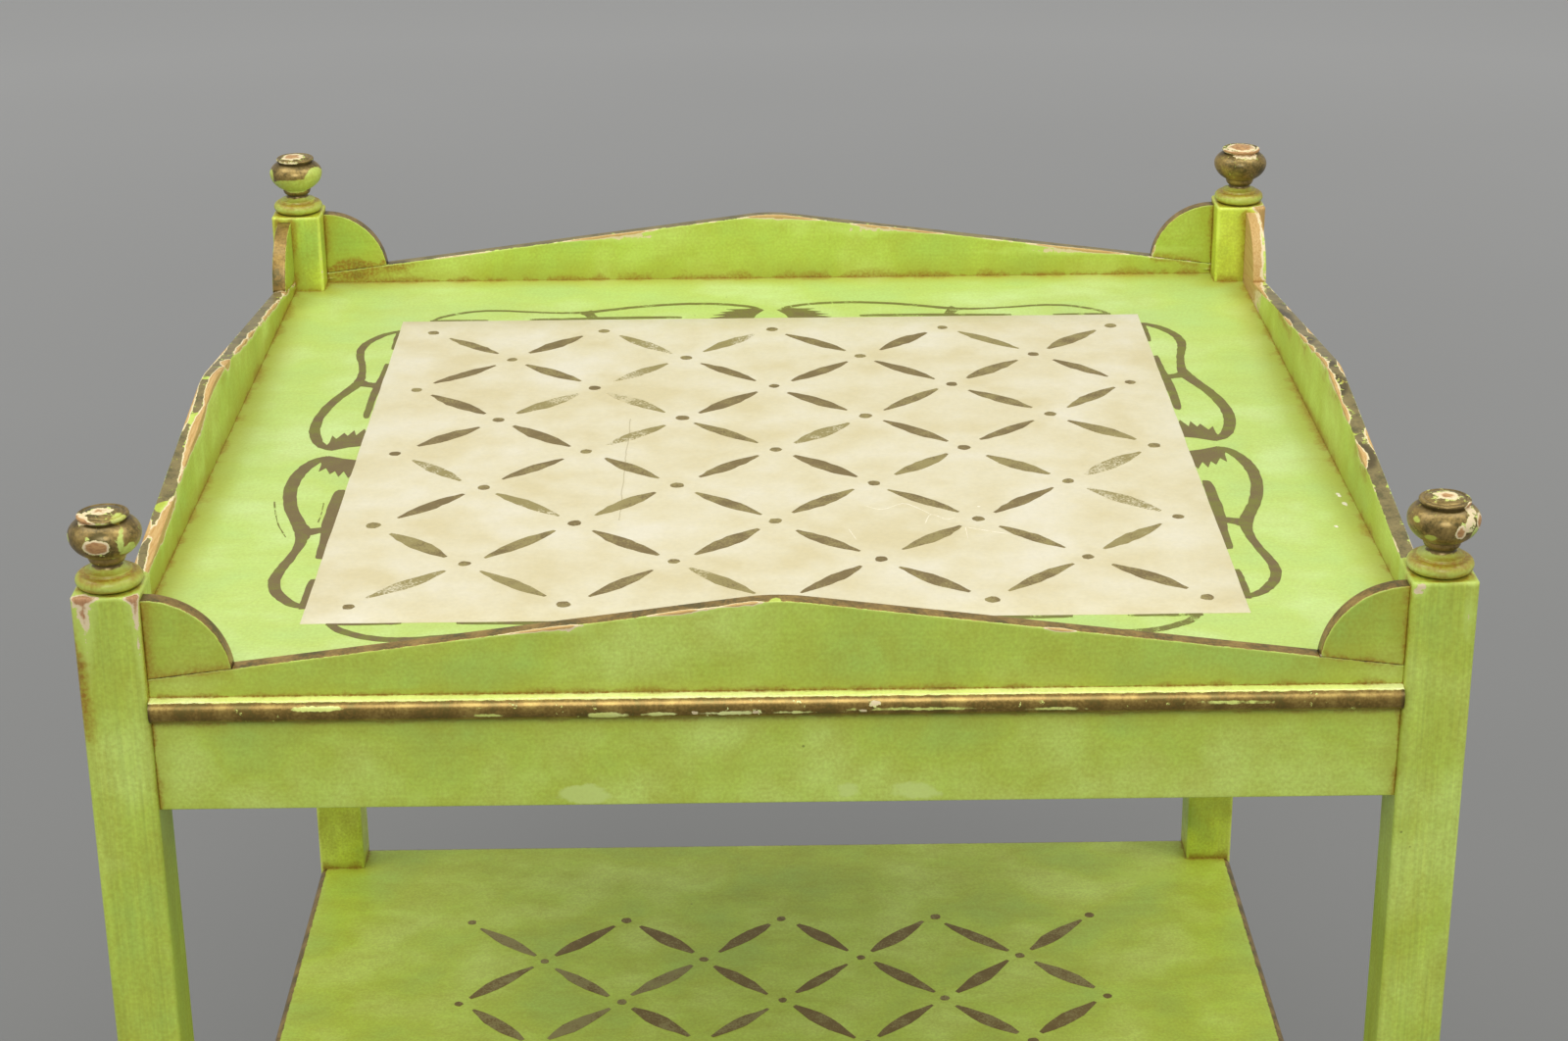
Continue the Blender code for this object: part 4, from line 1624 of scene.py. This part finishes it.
@dataclass
class ScrollBorder(Stencil):
    """Scrolled border round the cream panel: each side has two motifs, mirrored about its middle."""

    panel: tuple[float, float, float, float] = (-164.3 * MM, 164.7 * MM, -171.0 * MM, 159.6 * MM)
    stroke: tuple[Point, ...] = (
        (4, 11.5, 2.4), (8, 15.6, 4.4), (15, 18.8, 4.8), (25, 21, 5.0), (37, 21.6, 4.8), (50, 20.2, 4.8),
        (62, 17.5, 4.8), (73, 13.8, 5.0), (82, 10.9, 5.6), (90, 10.2, 4.2), (99, 10.7, 3.3),
        (108, 12, 3.4), (118, 13.9, 3.8), (127, 14.6, 4.0), (135, 13.4, 4.0), (142, 10.2, 4.0),
        (148, 6.0, 3.8), (151.5, 1.0, 3.0))
    bridge: tuple[Point, ...] = ((84, 11.5, 8), (82, 8, 5.6), (80.5, 4, 5.2), (80, 0, 8.5))
    bars: tuple[tuple[Point, ...], ...] = (
        ((40, 1.8, 1.8), (44, 2.2, 3.4), (60, 2.3, 3.8), (75, 2.0, 4.2), (90, 1.4, 3.2), (104, 1.1, 2.8),
         (108, 1.0, 2.0)),
        ((127, 0.8, 1.4), (132, 0.9, 2.2), (143, 0.9, 2.6), (153, 0.8, 2.2)))
    hands: dict[tuple[Side, int], Hand] = field(default_factory=lambda: {
        (Side.FRONT, -1): Hand(0.95, 1.0, 1.0, 0.12, slide=-2.5),
        (Side.FRONT, 1): Hand(0.9, 1.0, 1.0, 0.3, slide=-5.5),
        (Side.RIGHT, -1): Hand(1.0, 1.15, 1.15, 0.12), (Side.RIGHT, 1): Hand(1.0, 1.0, 1.0, 0.12),
        (Side.BACK, -1): Hand(0.58, 0.9, 0.8, 0.3), (Side.BACK, 1): Hand(0.58, 0.9, 0.8, 0.3),
        (Side.LEFT, -1): Hand(1.1, 1.1, 1.3, 0.0), (Side.LEFT, 1): Hand(0.9, 1.1, 0.8, 0.08)})
    strays: tuple[tuple[Flat, ...], ...] = (
        ((-190.2, -57.1), (-188.4, -67.1), (-185.4, -79.9), (-182.6, -87.8), (-180.8, -92.6)),
        ((-171.2, -58.7), (-170.6, -70.1), (-170.7, -78.4)))
    block: tuple[Flat, ...] = (
        (3, 11.5), (7, 14.6), (12, 13.4), (20, 13.2), (16, 11), (23, 8.6), (19.5, 7), (26, 5), (20, 3.6),
        (27.5, 1), (22, -0.6), (8, -0.6), (6.5, 5))

    def motif(self, side: Side, sign: int) -> None:
        """Add one motif.

        Args:
            side: the panel's side that it lies along.
            sign: which way it runs from the side's middle.
        """
        draw = self.chance
        left, right, front, back = self.panel
        middle = ((left + right) / 2, (front + back) / 2)
        rim = {Side.FRONT: -front, Side.RIGHT: right, Side.BACK: back, Side.LEFT: -left}[side]
        swap = side in (Side.LEFT, Side.RIGHT)
        outward = -1 if side in (Side.FRONT, Side.LEFT) else 1
        hand = self.hands[side, sign]

        def lay(s: float, t: float) -> Flat:
            """Place of a point s along the side and t out from the panel, in millimetres."""
            s = s + draw.uniform(-0.2, 0.2)
            t = t + draw.uniform(-0.15, 0.15)
            along = (sign * s + hand.slide) * MM + middle[1 if swap else 0]
            out = outward * (rim + t * MM)
            return (out, along) if swap else (along, out)

        for path, scale in ((self.stroke, hand.stroke), (self.bridge, hand.bridge),
                            *((bar, hand.bars) for bar in self.bars)):
            fine = smooth_path([(s, t) for s, t, _ in path])
            widths = smooth_path([(w, 0.0) for _, _, w in path])
            dry = [max(hand.dry + draw.uniform(-0.12, 0.16), 0.0) for _ in fine]
            self.strip([lay(s, t) for s, t in fine],
                       [w * scale * draw.uniform(0.95, 1.05) * MM for w, _ in widths], dry)
        self.patch([lay(s, t) for s, t in self.block], hand.dry * 0.5)

    def spread(self) -> None:
        """Lay out the whole border."""
        for side in Side:
            for sign in (-1, 1):
                self.motif(side, sign)
        for points in self.strays:
            fine = smooth_path(points)
            self.strip([(x * MM, y * MM) for x, y in fine],
                       [self.chance.uniform(0.3, 0.7) * MM for _ in fine],
                       [self.chance.uniform(0.0, 0.6) for _ in fine])


def smooth_path(points: Sequence[Flat], steps: int = 4) -> list[Flat]:
    """Points along a smooth curve through a path's points.

    Args:
        points: the path's points.
        steps: how many points each stretch gets.

    Returns:
        The curve's points.
    """
    curve = []
    for i in range(len(points) - 1):
        before, start = points[max(i - 1, 0)], points[i]
        end, after = points[i + 1], points[min(i + 2, len(points) - 1)]
        for k in range(steps):
            t = k / steps
            curve.append(tuple(
                0.5 * (2 * b + (c - a) * t + (2 * a - 5 * b + 4 * c - d) * t * t
                       + (3 * b - a - 3 * c + d) * t ** 3)
                for a, b, c, d in zip(before, start, end, after)))
    curve.append(tuple(points[-1]))
    return curve


@dataclass
class Scratches(Stencil):
    """Scratches and dabs on the cream panel and on the tray beside it."""

    lines: tuple[tuple[float, tuple[Flat, ...]], ...] = (       # width and points, in millimetres
        (0.35, ((34.3, -67.9), (40.8, -72), (48.8, -66.3), (53.8, -70.4), (59, -77.5))),
        (0.3, ((56.2, -87.1), (59, -77.5), (64.2, -82.5), (68, -80.7))),
        (0.35, ((71, -90.4), (79.8, -94.6), (86.8, -97.7))),
        (0.3, ((71, -90.4), (71.3, -101.9))),
        (0.3, ((27.7, -91.2), (30.2, -101.6))),
        (1.0, ((76.9, -70.1), (78.1, -70.0))))

    def spread(self) -> None:
        """Lay out all the scratches."""
        for width, points in self.lines:
            fine = smooth_path(points)
            last = len(fine) - 1
            self.strip([(x * MM, y * MM) for x, y in fine],
                       [width * self.chance.uniform(0.5, 1.3) * MM * (0.3 if i in (0, last) else 1.0)
                        for i in range(last + 1)], [0.0] * (last + 1))


@dataclass
class CreamPanel:
    """Cream panel painted on the tray, over the scrolls' inner ends."""

    corners: tuple[Flat, ...] = ((-164.4 * MM, -171.9 * MM), (164.6 * MM, -171.2 * MM),
                                 (165.0 * MM, 159.2 * MM), (-164.8 * MM, 159.6 * MM))
    wobble: float = 0.35 * MM
    step: float = 6 * MM
    film: float = 0.14 * MM
    sink: float = 0.05 * MM

    def build(self, level: float, material: bpy.types.Material) -> None:
        """Build the panel.

        Args:
            level: height of the tray's surface.
            material: its finish.
        """
        outline = []
        for start, end in zip(self.corners, self.corners[1:] + self.corners[:1]):
            first, span = Vector(start), Vector(end) - Vector(start)
            across = Vector((-span.y, span.x)).normalized()
            count = int(span.length / self.step)
            for i in range(count):
                point = first + span * i / count
                off = noise.noise(Vector((point.x, point.y, 0)) / (3 * self.step)) * self.wobble
                outline.append(tuple(point + across * off))
        layers = ((0.9, level + self.film), (0.999, level + self.film),
                  (1.0, level + self.film * 0.6), (1.0, level - self.sink))
        rings = [[(x * share, y * share, z) for x, y in outline] for share, z in layers]
        Piece("cream_panel", loft("cream_panel", rings, sharp=30), "cream_paint").place(material)


@dataclass(frozen=True)
class Studio:
    """Grey floor, painted darker near the table as shade and paler far off as light, soft light and the
    camera at the photograph's angle.
    """

    floor_near_painted_shade: str = "#7c7c7a"
    floor_far_painted_light: str = "#d0d0ce"
    painted_falloff_reach: Flat = (0.8, 4.0)    # distances from the table between which the floor gets paler: painted shade near the table, painted light far off
    backdrop: str = "#9d9d9c"
    floor_half: float = 9.0
    camera_place: Point = (-0.0029, -1.1089, 1.1373)
    camera_down: float = 22.156
    camera_right: float = 0.372
    camera_roll: float = -0.5
    lens: float = 68.12
    sensor: float = 36.0
    world_strength: float = 0.45
    lamps: tuple[tuple[str, Point, Flat, float], ...] = (      # name, place, size and power
        ("front_lamp", (0.0, -2.6, 2.65), (1.2, 1.2), 40.5),
        ("overhead_lamp", (0.0, -0.25, 2.6), (2.2, 0.3), 12.0),
        ("high_left_lamp", (-1.15, 0.1, 2.5), (0.9, 0.9), 10.0),
        ("high_right_lamp", (1.15, 0.1, 2.5), (0.9, 0.9), 9.0),
        ("left_lamp", (-2.3, -0.5, 2.1), (1.3, 1.3), 6.0),
        ("right_lamp", (2.3, -0.5, 2.1), (1.3, 1.3), 6.0))
    lamp_target: Point = (0, 0, 0.6)

    def build_floor(self) -> None:
        """Lay the floor."""
        half = self.floor_half
        mesh = bpy.data.meshes.new("floor")
        mesh.from_pydata([(-half, -half, 0), (half, -half, 0), (half, half, 0), (-half, half, 0)], [],
                         [(0, 1, 2, 3)])
        floor = bpy.data.objects.new("floor", mesh)
        bpy.context.scene.collection.objects.link(floor)
        material, wiring = new_material("floor_paper")
        add = wiring.add
        place = add("NewGeometry", output="Position")
        away = add("VectorMath", {0: place}, output="Value", operation="LENGTH")
        mottle = add("TexNoise", {"Vector": place, "Scale": 1.2, "Detail": 2.0})
        away = add("Math", {0: mottle, 1: 0.3, 2: away}, operation="MULTIPLY_ADD")
        near, far = self.painted_falloff_reach
        # painted shade and light: the floor is darker near the table, standing in for its shadow, and
        # paler far off, standing in for the light on a backdrop
        painted_falloff = add("MapRange", {"Value": away, "From Min": near, "From Max": far})
        painted_falloff_colour = add("Mix", {
            FACTOR: painted_falloff, UNDER: self.floor_near_painted_shade, OVER: self.floor_far_painted_light}, MIXED, data_type="RGBA")
        wiring.finish({"Base Color": painted_falloff_colour, "Roughness": 0.9})
        mesh.materials.append(material)

    def build_world(self) -> None:
        """Fill the studio with soft light, behind which the camera sees the backdrop's grey."""
        world = bpy.data.worlds.new("studio")
        bpy.context.scene.world = world
        world.use_nodes = True
        wiring = Wiring(world.node_tree)
        light = wiring.tree.nodes["Background"]
        wiring.feed(light, {"Color": (1, 1, 1, 1), "Strength": self.world_strength})
        seen = wiring.add("LightPath", output="Is Camera Ray")
        back = wiring.add("Background", {"Color": self.backdrop, "Strength": 1.0})
        mixed = wiring.add("MixShader", {0: seen, 1: light.outputs[0], 2: back})
        wiring.feed(wiring.tree.nodes["World Output"], {"Surface": mixed})

    def build_lamps(self) -> None:
        """Hang the lamps, each aimed at the tray."""
        target = Vector(self.lamp_target)
        for name, place, size, power in self.lamps:
            data = bpy.data.lights.new(name, "AREA")
            data.shape = "RECTANGLE"
            data.size, data.size_y = size
            data.energy = power
            lamp = bpy.data.objects.new(name, data)
            bpy.context.scene.collection.objects.link(lamp)
            lamp.location = place
            lamp.rotation_euler = (target - Vector(place)).to_track_quat("-Z", "Y").to_euler()

    def build_camera(self) -> None:
        """Place the camera."""
        data = bpy.data.cameras.new("camera")
        data.sensor_width = self.sensor
        data.lens = self.lens
        camera = bpy.data.objects.new("camera", data)
        bpy.context.scene.collection.objects.link(camera)
        camera.matrix_world = (
            Matrix.Translation(self.camera_place)
            @ Matrix.Rotation(math.radians(-self.camera_right), 4, "Z")
            @ Matrix.Rotation(math.radians(90 - self.camera_down), 4, "X")
            @ Matrix.Rotation(math.radians(self.camera_roll), 4, "Z"))
        bpy.context.scene.camera = camera

    def build(self) -> None:
        """Build the studio."""
        self.build_floor()
        self.build_world()
        self.build_lamps()
        self.build_camera()
        bpy.context.scene.view_settings.view_transform = "Standard"


@dataclass
class SideTable:
    """The whole table, dressed."""

    lines: TableLines
    # painted reflection: the tray's green is paler and bluer than the others, standing in for a sheen of
    # reflected light, over its lighter glaze
    tray_green_with_painted_sheen: ApplePaint = ApplePaint(
        cool="#b3cf74", body="#b8d06c", pale="#c3da88", glaze=0.25, brushing=0.015,
        drawn=(0.6, 1, 1), wash=0.6, wash_reach=16.0, joint_reach=2.4, joint_stain=0.8)
    shelf_green: ApplePaint = ApplePaint(
        cool="#b4ce4e", body="#bfd446", pale="#cee266", glaze=0.55, brushing=0.02,
        drawn=(0.6, 1, 1))

    def finial_spots(self, corner: Corner) -> tuple[Spot, ...]:
        """Rubbed places of one finial."""
        lines = self.lines
        base = (*(sign * lines.leg_centre for sign in corner.signs), lines.leg_top)
        rubs = {
            Corner.FRONT_LEFT: (
                ((-0.5, -12, 17.5), (4.6, 4, 2.8), 1.0), ((-0.5, -1, 26.5), (4, 3, 1.2), 1.0),
                ((-6, -4, 24.8), (2.5, 4, 1.5), 0.55), ((7, -8, 18), (0.9, 3, 5), 0.0),
                ((9, -6, 15.5), (2, 3, 2.5), 0.0), ((-11, -3, 18), (2, 3, 1.6), 0.0),
                ((6, -5, 25), (2.5, 4, 1.5), 0.0), ((0, -9, 24.4), (5, 2, 0.55), 0.0)),
            Corner.FRONT_RIGHT: (
                ((3, -11, 17.4), (1.9, 4, 2.5), 1.0), ((10.5, -5, 19), (2.0, 4, 2.4), 1.0),
                ((0.5, 0, 26.5), (4.4, 4, 1.2), 1.0), ((7, -5, 22), (2.2, 3, 2.5), 0.55),
                ((6.5, -9, 19.5), (2.0, 3, 2.6), 0.55), ((-6, -9, 15), (2.0, 3, 1.4), 0.0),
                ((8.5, -7, 15), (1.6, 3, 3.0), 0.0), ((-10, -5, 20), (1.0, 2, 1.0), 0.0)),
            Corner.BACK_RIGHT: (((0, -1, 26.2), (7, 7, 2.2), 0.75), ((2, -8, 23.5), (6, 3, 1.5), 0.55)),
            Corner.BACK_LEFT: (
                ((1, -9, 14), (12, 9, 4.0), 0.0), ((9, -5, 17), (5, 8, 5), 0.0),
                ((-10, -4, 18), (2.5, 4, 3), 0.0), ((-1, -1, 26), (5, 5, 1.6), 1.0)),
        }[corner]
        return tuple(Spot.near(base, place, size, 0.6, most) for place, size, most in rubs)

    def leg_spots(self, corner: Corner) -> tuple[Spot, ...]:
        """Rubbed places of one leg."""
        half, top = self.lines.half, self.lines.leg_top
        base, rows = {
            Corner.FRONT_LEFT: ((-half, -half, top), (
                ((4.2, 0, 0), (2.8, 4, 17), 1.5, 1.0, True),
                ((20.8, 0, 0), (1.3, 2.0, 12), 1.2, 0.55, True),
                ((0, 0, -30), (2.4, 2.4, 14), 0.8, -1.0, False))),
            Corner.FRONT_RIGHT: ((half, -half, top), (
                ((-19.5, 0, -2.4), (1.4, 1.4, 1.4), 0.8, 0.52, False),
                ((-3.2, 0, -11.5), (0.35, 1, 1.6), 0.8, 0.5, False))),
            Corner.BACK_RIGHT: ((half, half - self.lines.stock, top), (
                ((-0.5, 0, 0), (4, 3, 11), 0.8, 1.0, False),)),
            Corner.BACK_LEFT: ((-half, half, top), ()),
        }[corner]
        return tuple(Spot.near(base, *row) for row in rows)

    def gallery_spots(self, gallery: GallerySide, side: Side) -> tuple[Spot, ...]:
        """Worn stretches of one board's top, as places along it, lengths, widths and depths."""
        outer, inner = {
            Side.FRONT: (
                ((-74, 16, 1.0, 1.0), (-32, 10, 0.9, 1.0), (-10, 6, 1.0, 0.54),
                 (93, 4, 1.0, 1.0), (0, 4, 3.0, 0.0)), ()),
            Side.RIGHT: (
                ((-62, 13, 3.0, 0.55), (-1, 10, 1.6, 0.54), (66, 8, 1.8, 0.54), (116, 6, 1.2, 0.54)),
                ((33, 9, 1.8, 0.54), (20, 5, 1.4, 0.54), (8, 14, 2.8, 0.55), (4, 8, 4.0, -1.0),
                 (-16, 24, 2.4, 0.55), (-17, 16, 4.4, -1.0), (-41, 11, 2.2, 0.55),
                 (-76, 13, 2.8, 1.0), (-76, 18, 4.4, -1.0), (52, 10, 1.6, 0.54), (50, 14, 3.2, -1.0),
                 (90, 9, 1.2, 0.54), (100, 30, 2.6, -1.0), (180, 25, 1.8, 1.0),
                 (184, 26, 3.6, -1.0))),
            Side.BACK: (
                (), ((-8, 26, 1.8, 1.0), (-60, 50, 1.2, 0.54), (80, 50, 1.2, 0.54),
                 (-150, 50, 1.2, 0.54), (194, 22, 4.2, -1.0), (176, 12, 2.6, -1.0))),
            Side.LEFT: (
                ((123, 12, 2.4, 1.0), (150, 12, 1.3, 0.54), (-40, 60, 1.3, 0.54),
                 (30, 70, 1.3, 0.54)),
                ((50, 42, 2.8, 1.0), (122, 56, 2.8, 1.0), (123, 11, 4.6, 1.0), (-28, 9, 3.4, 1.0),
                 (5, 26, 2.0, 0.54), (36, 12, 6.0, 0.0), (105, 10, 6.0, 0.0), (0, 3, 9.0, 0.0))),
        }[side]
        worn = [gallery.rub(side, *row, inside) for inside, rows in ((False, outer), (True, inner))
                for row in rows]
        if side is Side.RIGHT:
            base = (self.lines.board_in, self.lines.leg_face, self.lines.ear_top)
            worn += [Spot.near(base, (0.6, -14, -6), size, most=most)
                     for size, most in (((4.4, 40, 40), 1.0), ((20, 24, 40), 0.0))]
        return tuple(worn)

    def bead_spots(self, side: Side) -> tuple[Spot, ...]:
        """Knocks and flakes along one bead, as places along it, heights from its middle and sizes."""
        if side is not Side.FRONT:
            return ()
        base = (0, -self.lines.board_out, self.lines.bead_level)
        rows = (
            (32, 1.4, 4.4, 2.4, 0.54), (28, -1.2, 4, 1.2, 0.54), (-27, -1.3, 2.6, 1.4, 0.54),
            (-7, -1.2, 2.6, 1.3, 0.54), (-14, -1.0, 3, 1.1, 0.54), (-56, -1.8, 14, 2.2, 0.0),
            (-38, -1.6, 12, 1.6, 0.0), (-16, -1.5, 20, 1.4, 0.0), (6, -1.4, 14, 1.1, 0.0),
            (48, -0.6, 34, 1.0, 0.0), (92, -1.2, 20, 1.2, 0.0), (-96, -1.4, 10, 1.2, 0.0),
            (-150, 1.6, 16, 1.4, 0.0), (150, 0.4, 24, 0.9, 0.0))
        return tuple(Spot.near(base, (x, -4, z), (length / 2, 4, height / 2), 0.3, most)
                     for x, z, length, height, most in rows)

    def gallery_touches(self, side: Side) -> tuple[Spot, ...]:
        """Where one board's apron was touched up."""
        if side is not Side.FRONT:
            return ()
        base = (0, -self.lines.board_out, self.lines.board_bottom)
        return tuple(Spot.near(base, (x, 0, 4), (length / 2, 1, 3))
                     for x, length in ((-64, 15), (23, 10), (48, 18)))

    def build_frame(self) -> None:
        """Build the legs and their finials."""
        lines = self.lines
        front = PaintedWood(
            "post_paint", Brush.ALONG_Z,
            ApplePaint(glaze=0.6, brushing=0.09, drawn=(1, 1, 0.35), wash=0.5, wash_reach=5.0),
            wood="#bd8f64", wood_dark="#a5774c").material()
        # painted light: the back posts' green is lighter than the front posts', standing in for fill
        # light, under a heavier olive glaze
        back = PaintedWood(
            "back_post_paint", Brush.ALONG_Z,
            ApplePaint(body="#d3e44a", pale="#dfee64", glaze=0.8, wash=0.7, wash_reach=5.0,
                       joint_reach=2.2)).material()
        turned = PaintedWood(
            "finial_paint", Brush.ROUND,
            ApplePaint(cool="#b0c458", body="#bccf60", pale="#cfdf80", glaze=0.8, wash=0.7,
                       wash_reach=3.0),
            BronzePaint("#86703a", "#aa9050", "#5f5226", metallic=0.55, roughness=0.38),
            wood="#b98e58", wood_dark="#a07446", flaking=0.5, chip=2.2 * MM).material()
        finial = Finial(lines)
        for corner in Corner:
            in_front = corner.signs[1] < 0
            leg = Leg(lines, edge_wear=Wear(0.2 if in_front else 0.55, 1 * MM))
            leg.build(corner, self.leg_spots(corner), front if in_front else back)
            finial.build(corner, self.finial_spots(corner), turned)

    def build_gallery(self) -> None:
        """Build the boards, ears and beads of the four sides."""
        side = GallerySide(self.lines)
        calm = PaintedWood("gallery_paint", Brush.ALONG_X,
                           ApplePaint(glaze=0.55, brushing=0.025, joint_reach=1.1)).material()
        green = ApplePaint(glaze=0.5, brushing=0.025, wash=0.45, wash_reach=12.0, joint_reach=2.2)
        bronze = BronzePaint("#7d7044", "#918350", "#645d34", metallic=0.2)
        handled = PaintedWood("handled_gallery_paint", Brush.ALONG_X, green, bronze,
                              flaking=0.46).material()
        # painted shade: the left board's darker, more glazed copy of the handled green stands in for the
        # shade on that side
        glazed = PaintedWood(
            "left_gallery_paint_painted_shade", Brush.ALONG_X,
            replace(green, cool="#a6c448", body="#b0c742", glaze=0.7, wash=0.7), bronze,
            flaking=0.46).material()
        eared = PaintedWood(
            "ear_paint", Brush.ALONG_X,
            ApplePaint(cool="#a4bf4a", body="#b1c747", pale="#c0d560", glaze=0.75)).material()
        # painted highlight: the bead's green top is a near-white yellow-green, standing in for the light
        # on its upper face
        bead_finish_with_painted_highlight = PaintedWood(
            "bead_paint", Brush.ALONG_X,
            ApplePaint(cool="#d9e67a", body="#e1eb84", pale="#edf3a6", glaze=0.2, wash=0.0,
                       joint_reach=0.6, roughness=0.2),
            BronzePaint(gold="#a58c46", thin="#736329", metallic=0.6, roughness=0.34,
                        grime_reach=1.5),
            flaking=0.48).material()
        for place in Side:
            paint = {Side.FRONT: calm, Side.LEFT: glazed}.get(place, handled)
            spots = self.gallery_spots(side, place)
            side.build_board(place, spots, self.gallery_touches(place), paint)
            side.build_ears(place, spots, eared)
            side.build_bead(place, self.bead_spots(place), bead_finish_with_painted_highlight)

    def build_tiers(self) -> None:
        """Build the tray and the two shelves."""
        lines = self.lines
        # the tray's paint carries a painted sheen in its paler, bluer green
        level = PaintedWood("tray_paint_with_painted_sheen", Brush.ALONG_X, self.tray_green_with_painted_sheen).material()
        Tier(lines, "tray_board", lines.board_in + 0.1 * MM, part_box("tray_board")[0].z, lines.tray,
             0.2 * MM, True).build((), level)
        shelf_paint = PaintedWood("shelf_paint", Brush.ALONG_X, self.shelf_green).material()
        for name, (low, high) in lines.shelves.items():
            Tier(lines, name, lines.half, low, high, (high - low) / 2 - 0.05 * MM, False).build(
                (), shelf_paint)

    def build_stencils(self) -> None:
        """Paint the cream panel, its scrolled border and the lattices."""
        lines = self.lines
        cream, panel = CreamPaint(), CreamPanel()
        panel.build(lines.tray, cream.material())
        on_panel = lines.tray + panel.film
        ScrollBorder("scroll_border", lines.tray, film=0.08 * MM, seed=11).build(
            StencilBronze("scroll_bronze", self.tray_green_with_painted_sheen, body="#7a6844", olive="#76752f").material(),
            "bronze_paint")
        Lattice("tray_lattice", on_panel, film=0.06 * MM, seed=21, centre=(0.9 * MM, -7.2 * MM)).build(
            StencilBronze("lattice_bronze", cream).material(), "bronze_paint")
        scratched = ScratchedPaint().material()
        Scratches("panel_scratches", on_panel, film=0.02 * MM, seed=41).build(scratched, "cream_paint")
        Scratches("tray_dabs", lines.tray, film=0.03 * MM, seed=43, lines=(
            (1.6, ((214.6, -60.0), (215.2, -64.4))), (2.0, ((215.2, -69.6), (216.0, -73.4))),
            (1.2, ((208.0, -92.6), (208.6, -94.6))), (1.0, ((-163.6, -20.6), (-162.2, -18.4))),
        )).build(scratched, "cream_paint")
        for i, (name, (_, high)) in enumerate(lines.shelves.items()):
            Lattice(name.replace("shelf", "lattice"), high, film=0.08 * MM, seed=31 + i,
                    centre=(2.4 * MM, 1.0 * MM), pitch=37.4 * MM, leaf_length=37 * MM,
                    leaf_width=7.8 * MM, dot=4.6 * MM, dry_most=0.25,
                    leaf_shares=(0.25, 0.66, 0.95, 1.0, 0.85, 0.52, 0.2)).build(
                StencilBronze("shelf_bronze_" + name, self.shelf_green, body="#866c36",
                              deep="#705a26").material(), "bronze_paint")

    def build_cleats(self) -> None:
        """Give the tray's bare cleats their wood."""
        lengthways = SawnPine().material(Brush.ALONG_X)
        crossways = SawnPine("sawn_pine_crossways").material(Brush.ALONG_Y)
        for place in Side:
            cleat = bpy.data.objects["tray_cleat_" + place.label]
            cleat.data.materials.clear()
            cleat.data.materials.append(lengthways if place in (Side.FRONT, Side.BACK) else crossways)
            LOG.info("%s: sawn pine", cleat.name)

    def build(self) -> None:
        """Build and dress every piece."""
        self.build_frame()
        self.build_gallery()
        self.build_tiers()
        self.build_stencils()
        self.build_cleats()


def main() -> None:
    """Load the frame, dress the table and light it."""
    logging.basicConfig(level=logging.INFO, format="%(name)s: %(message)s")
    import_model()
    Studio().build()
    SideTable(TableLines.read()).build()


if __name__ == "__main__":
    main()
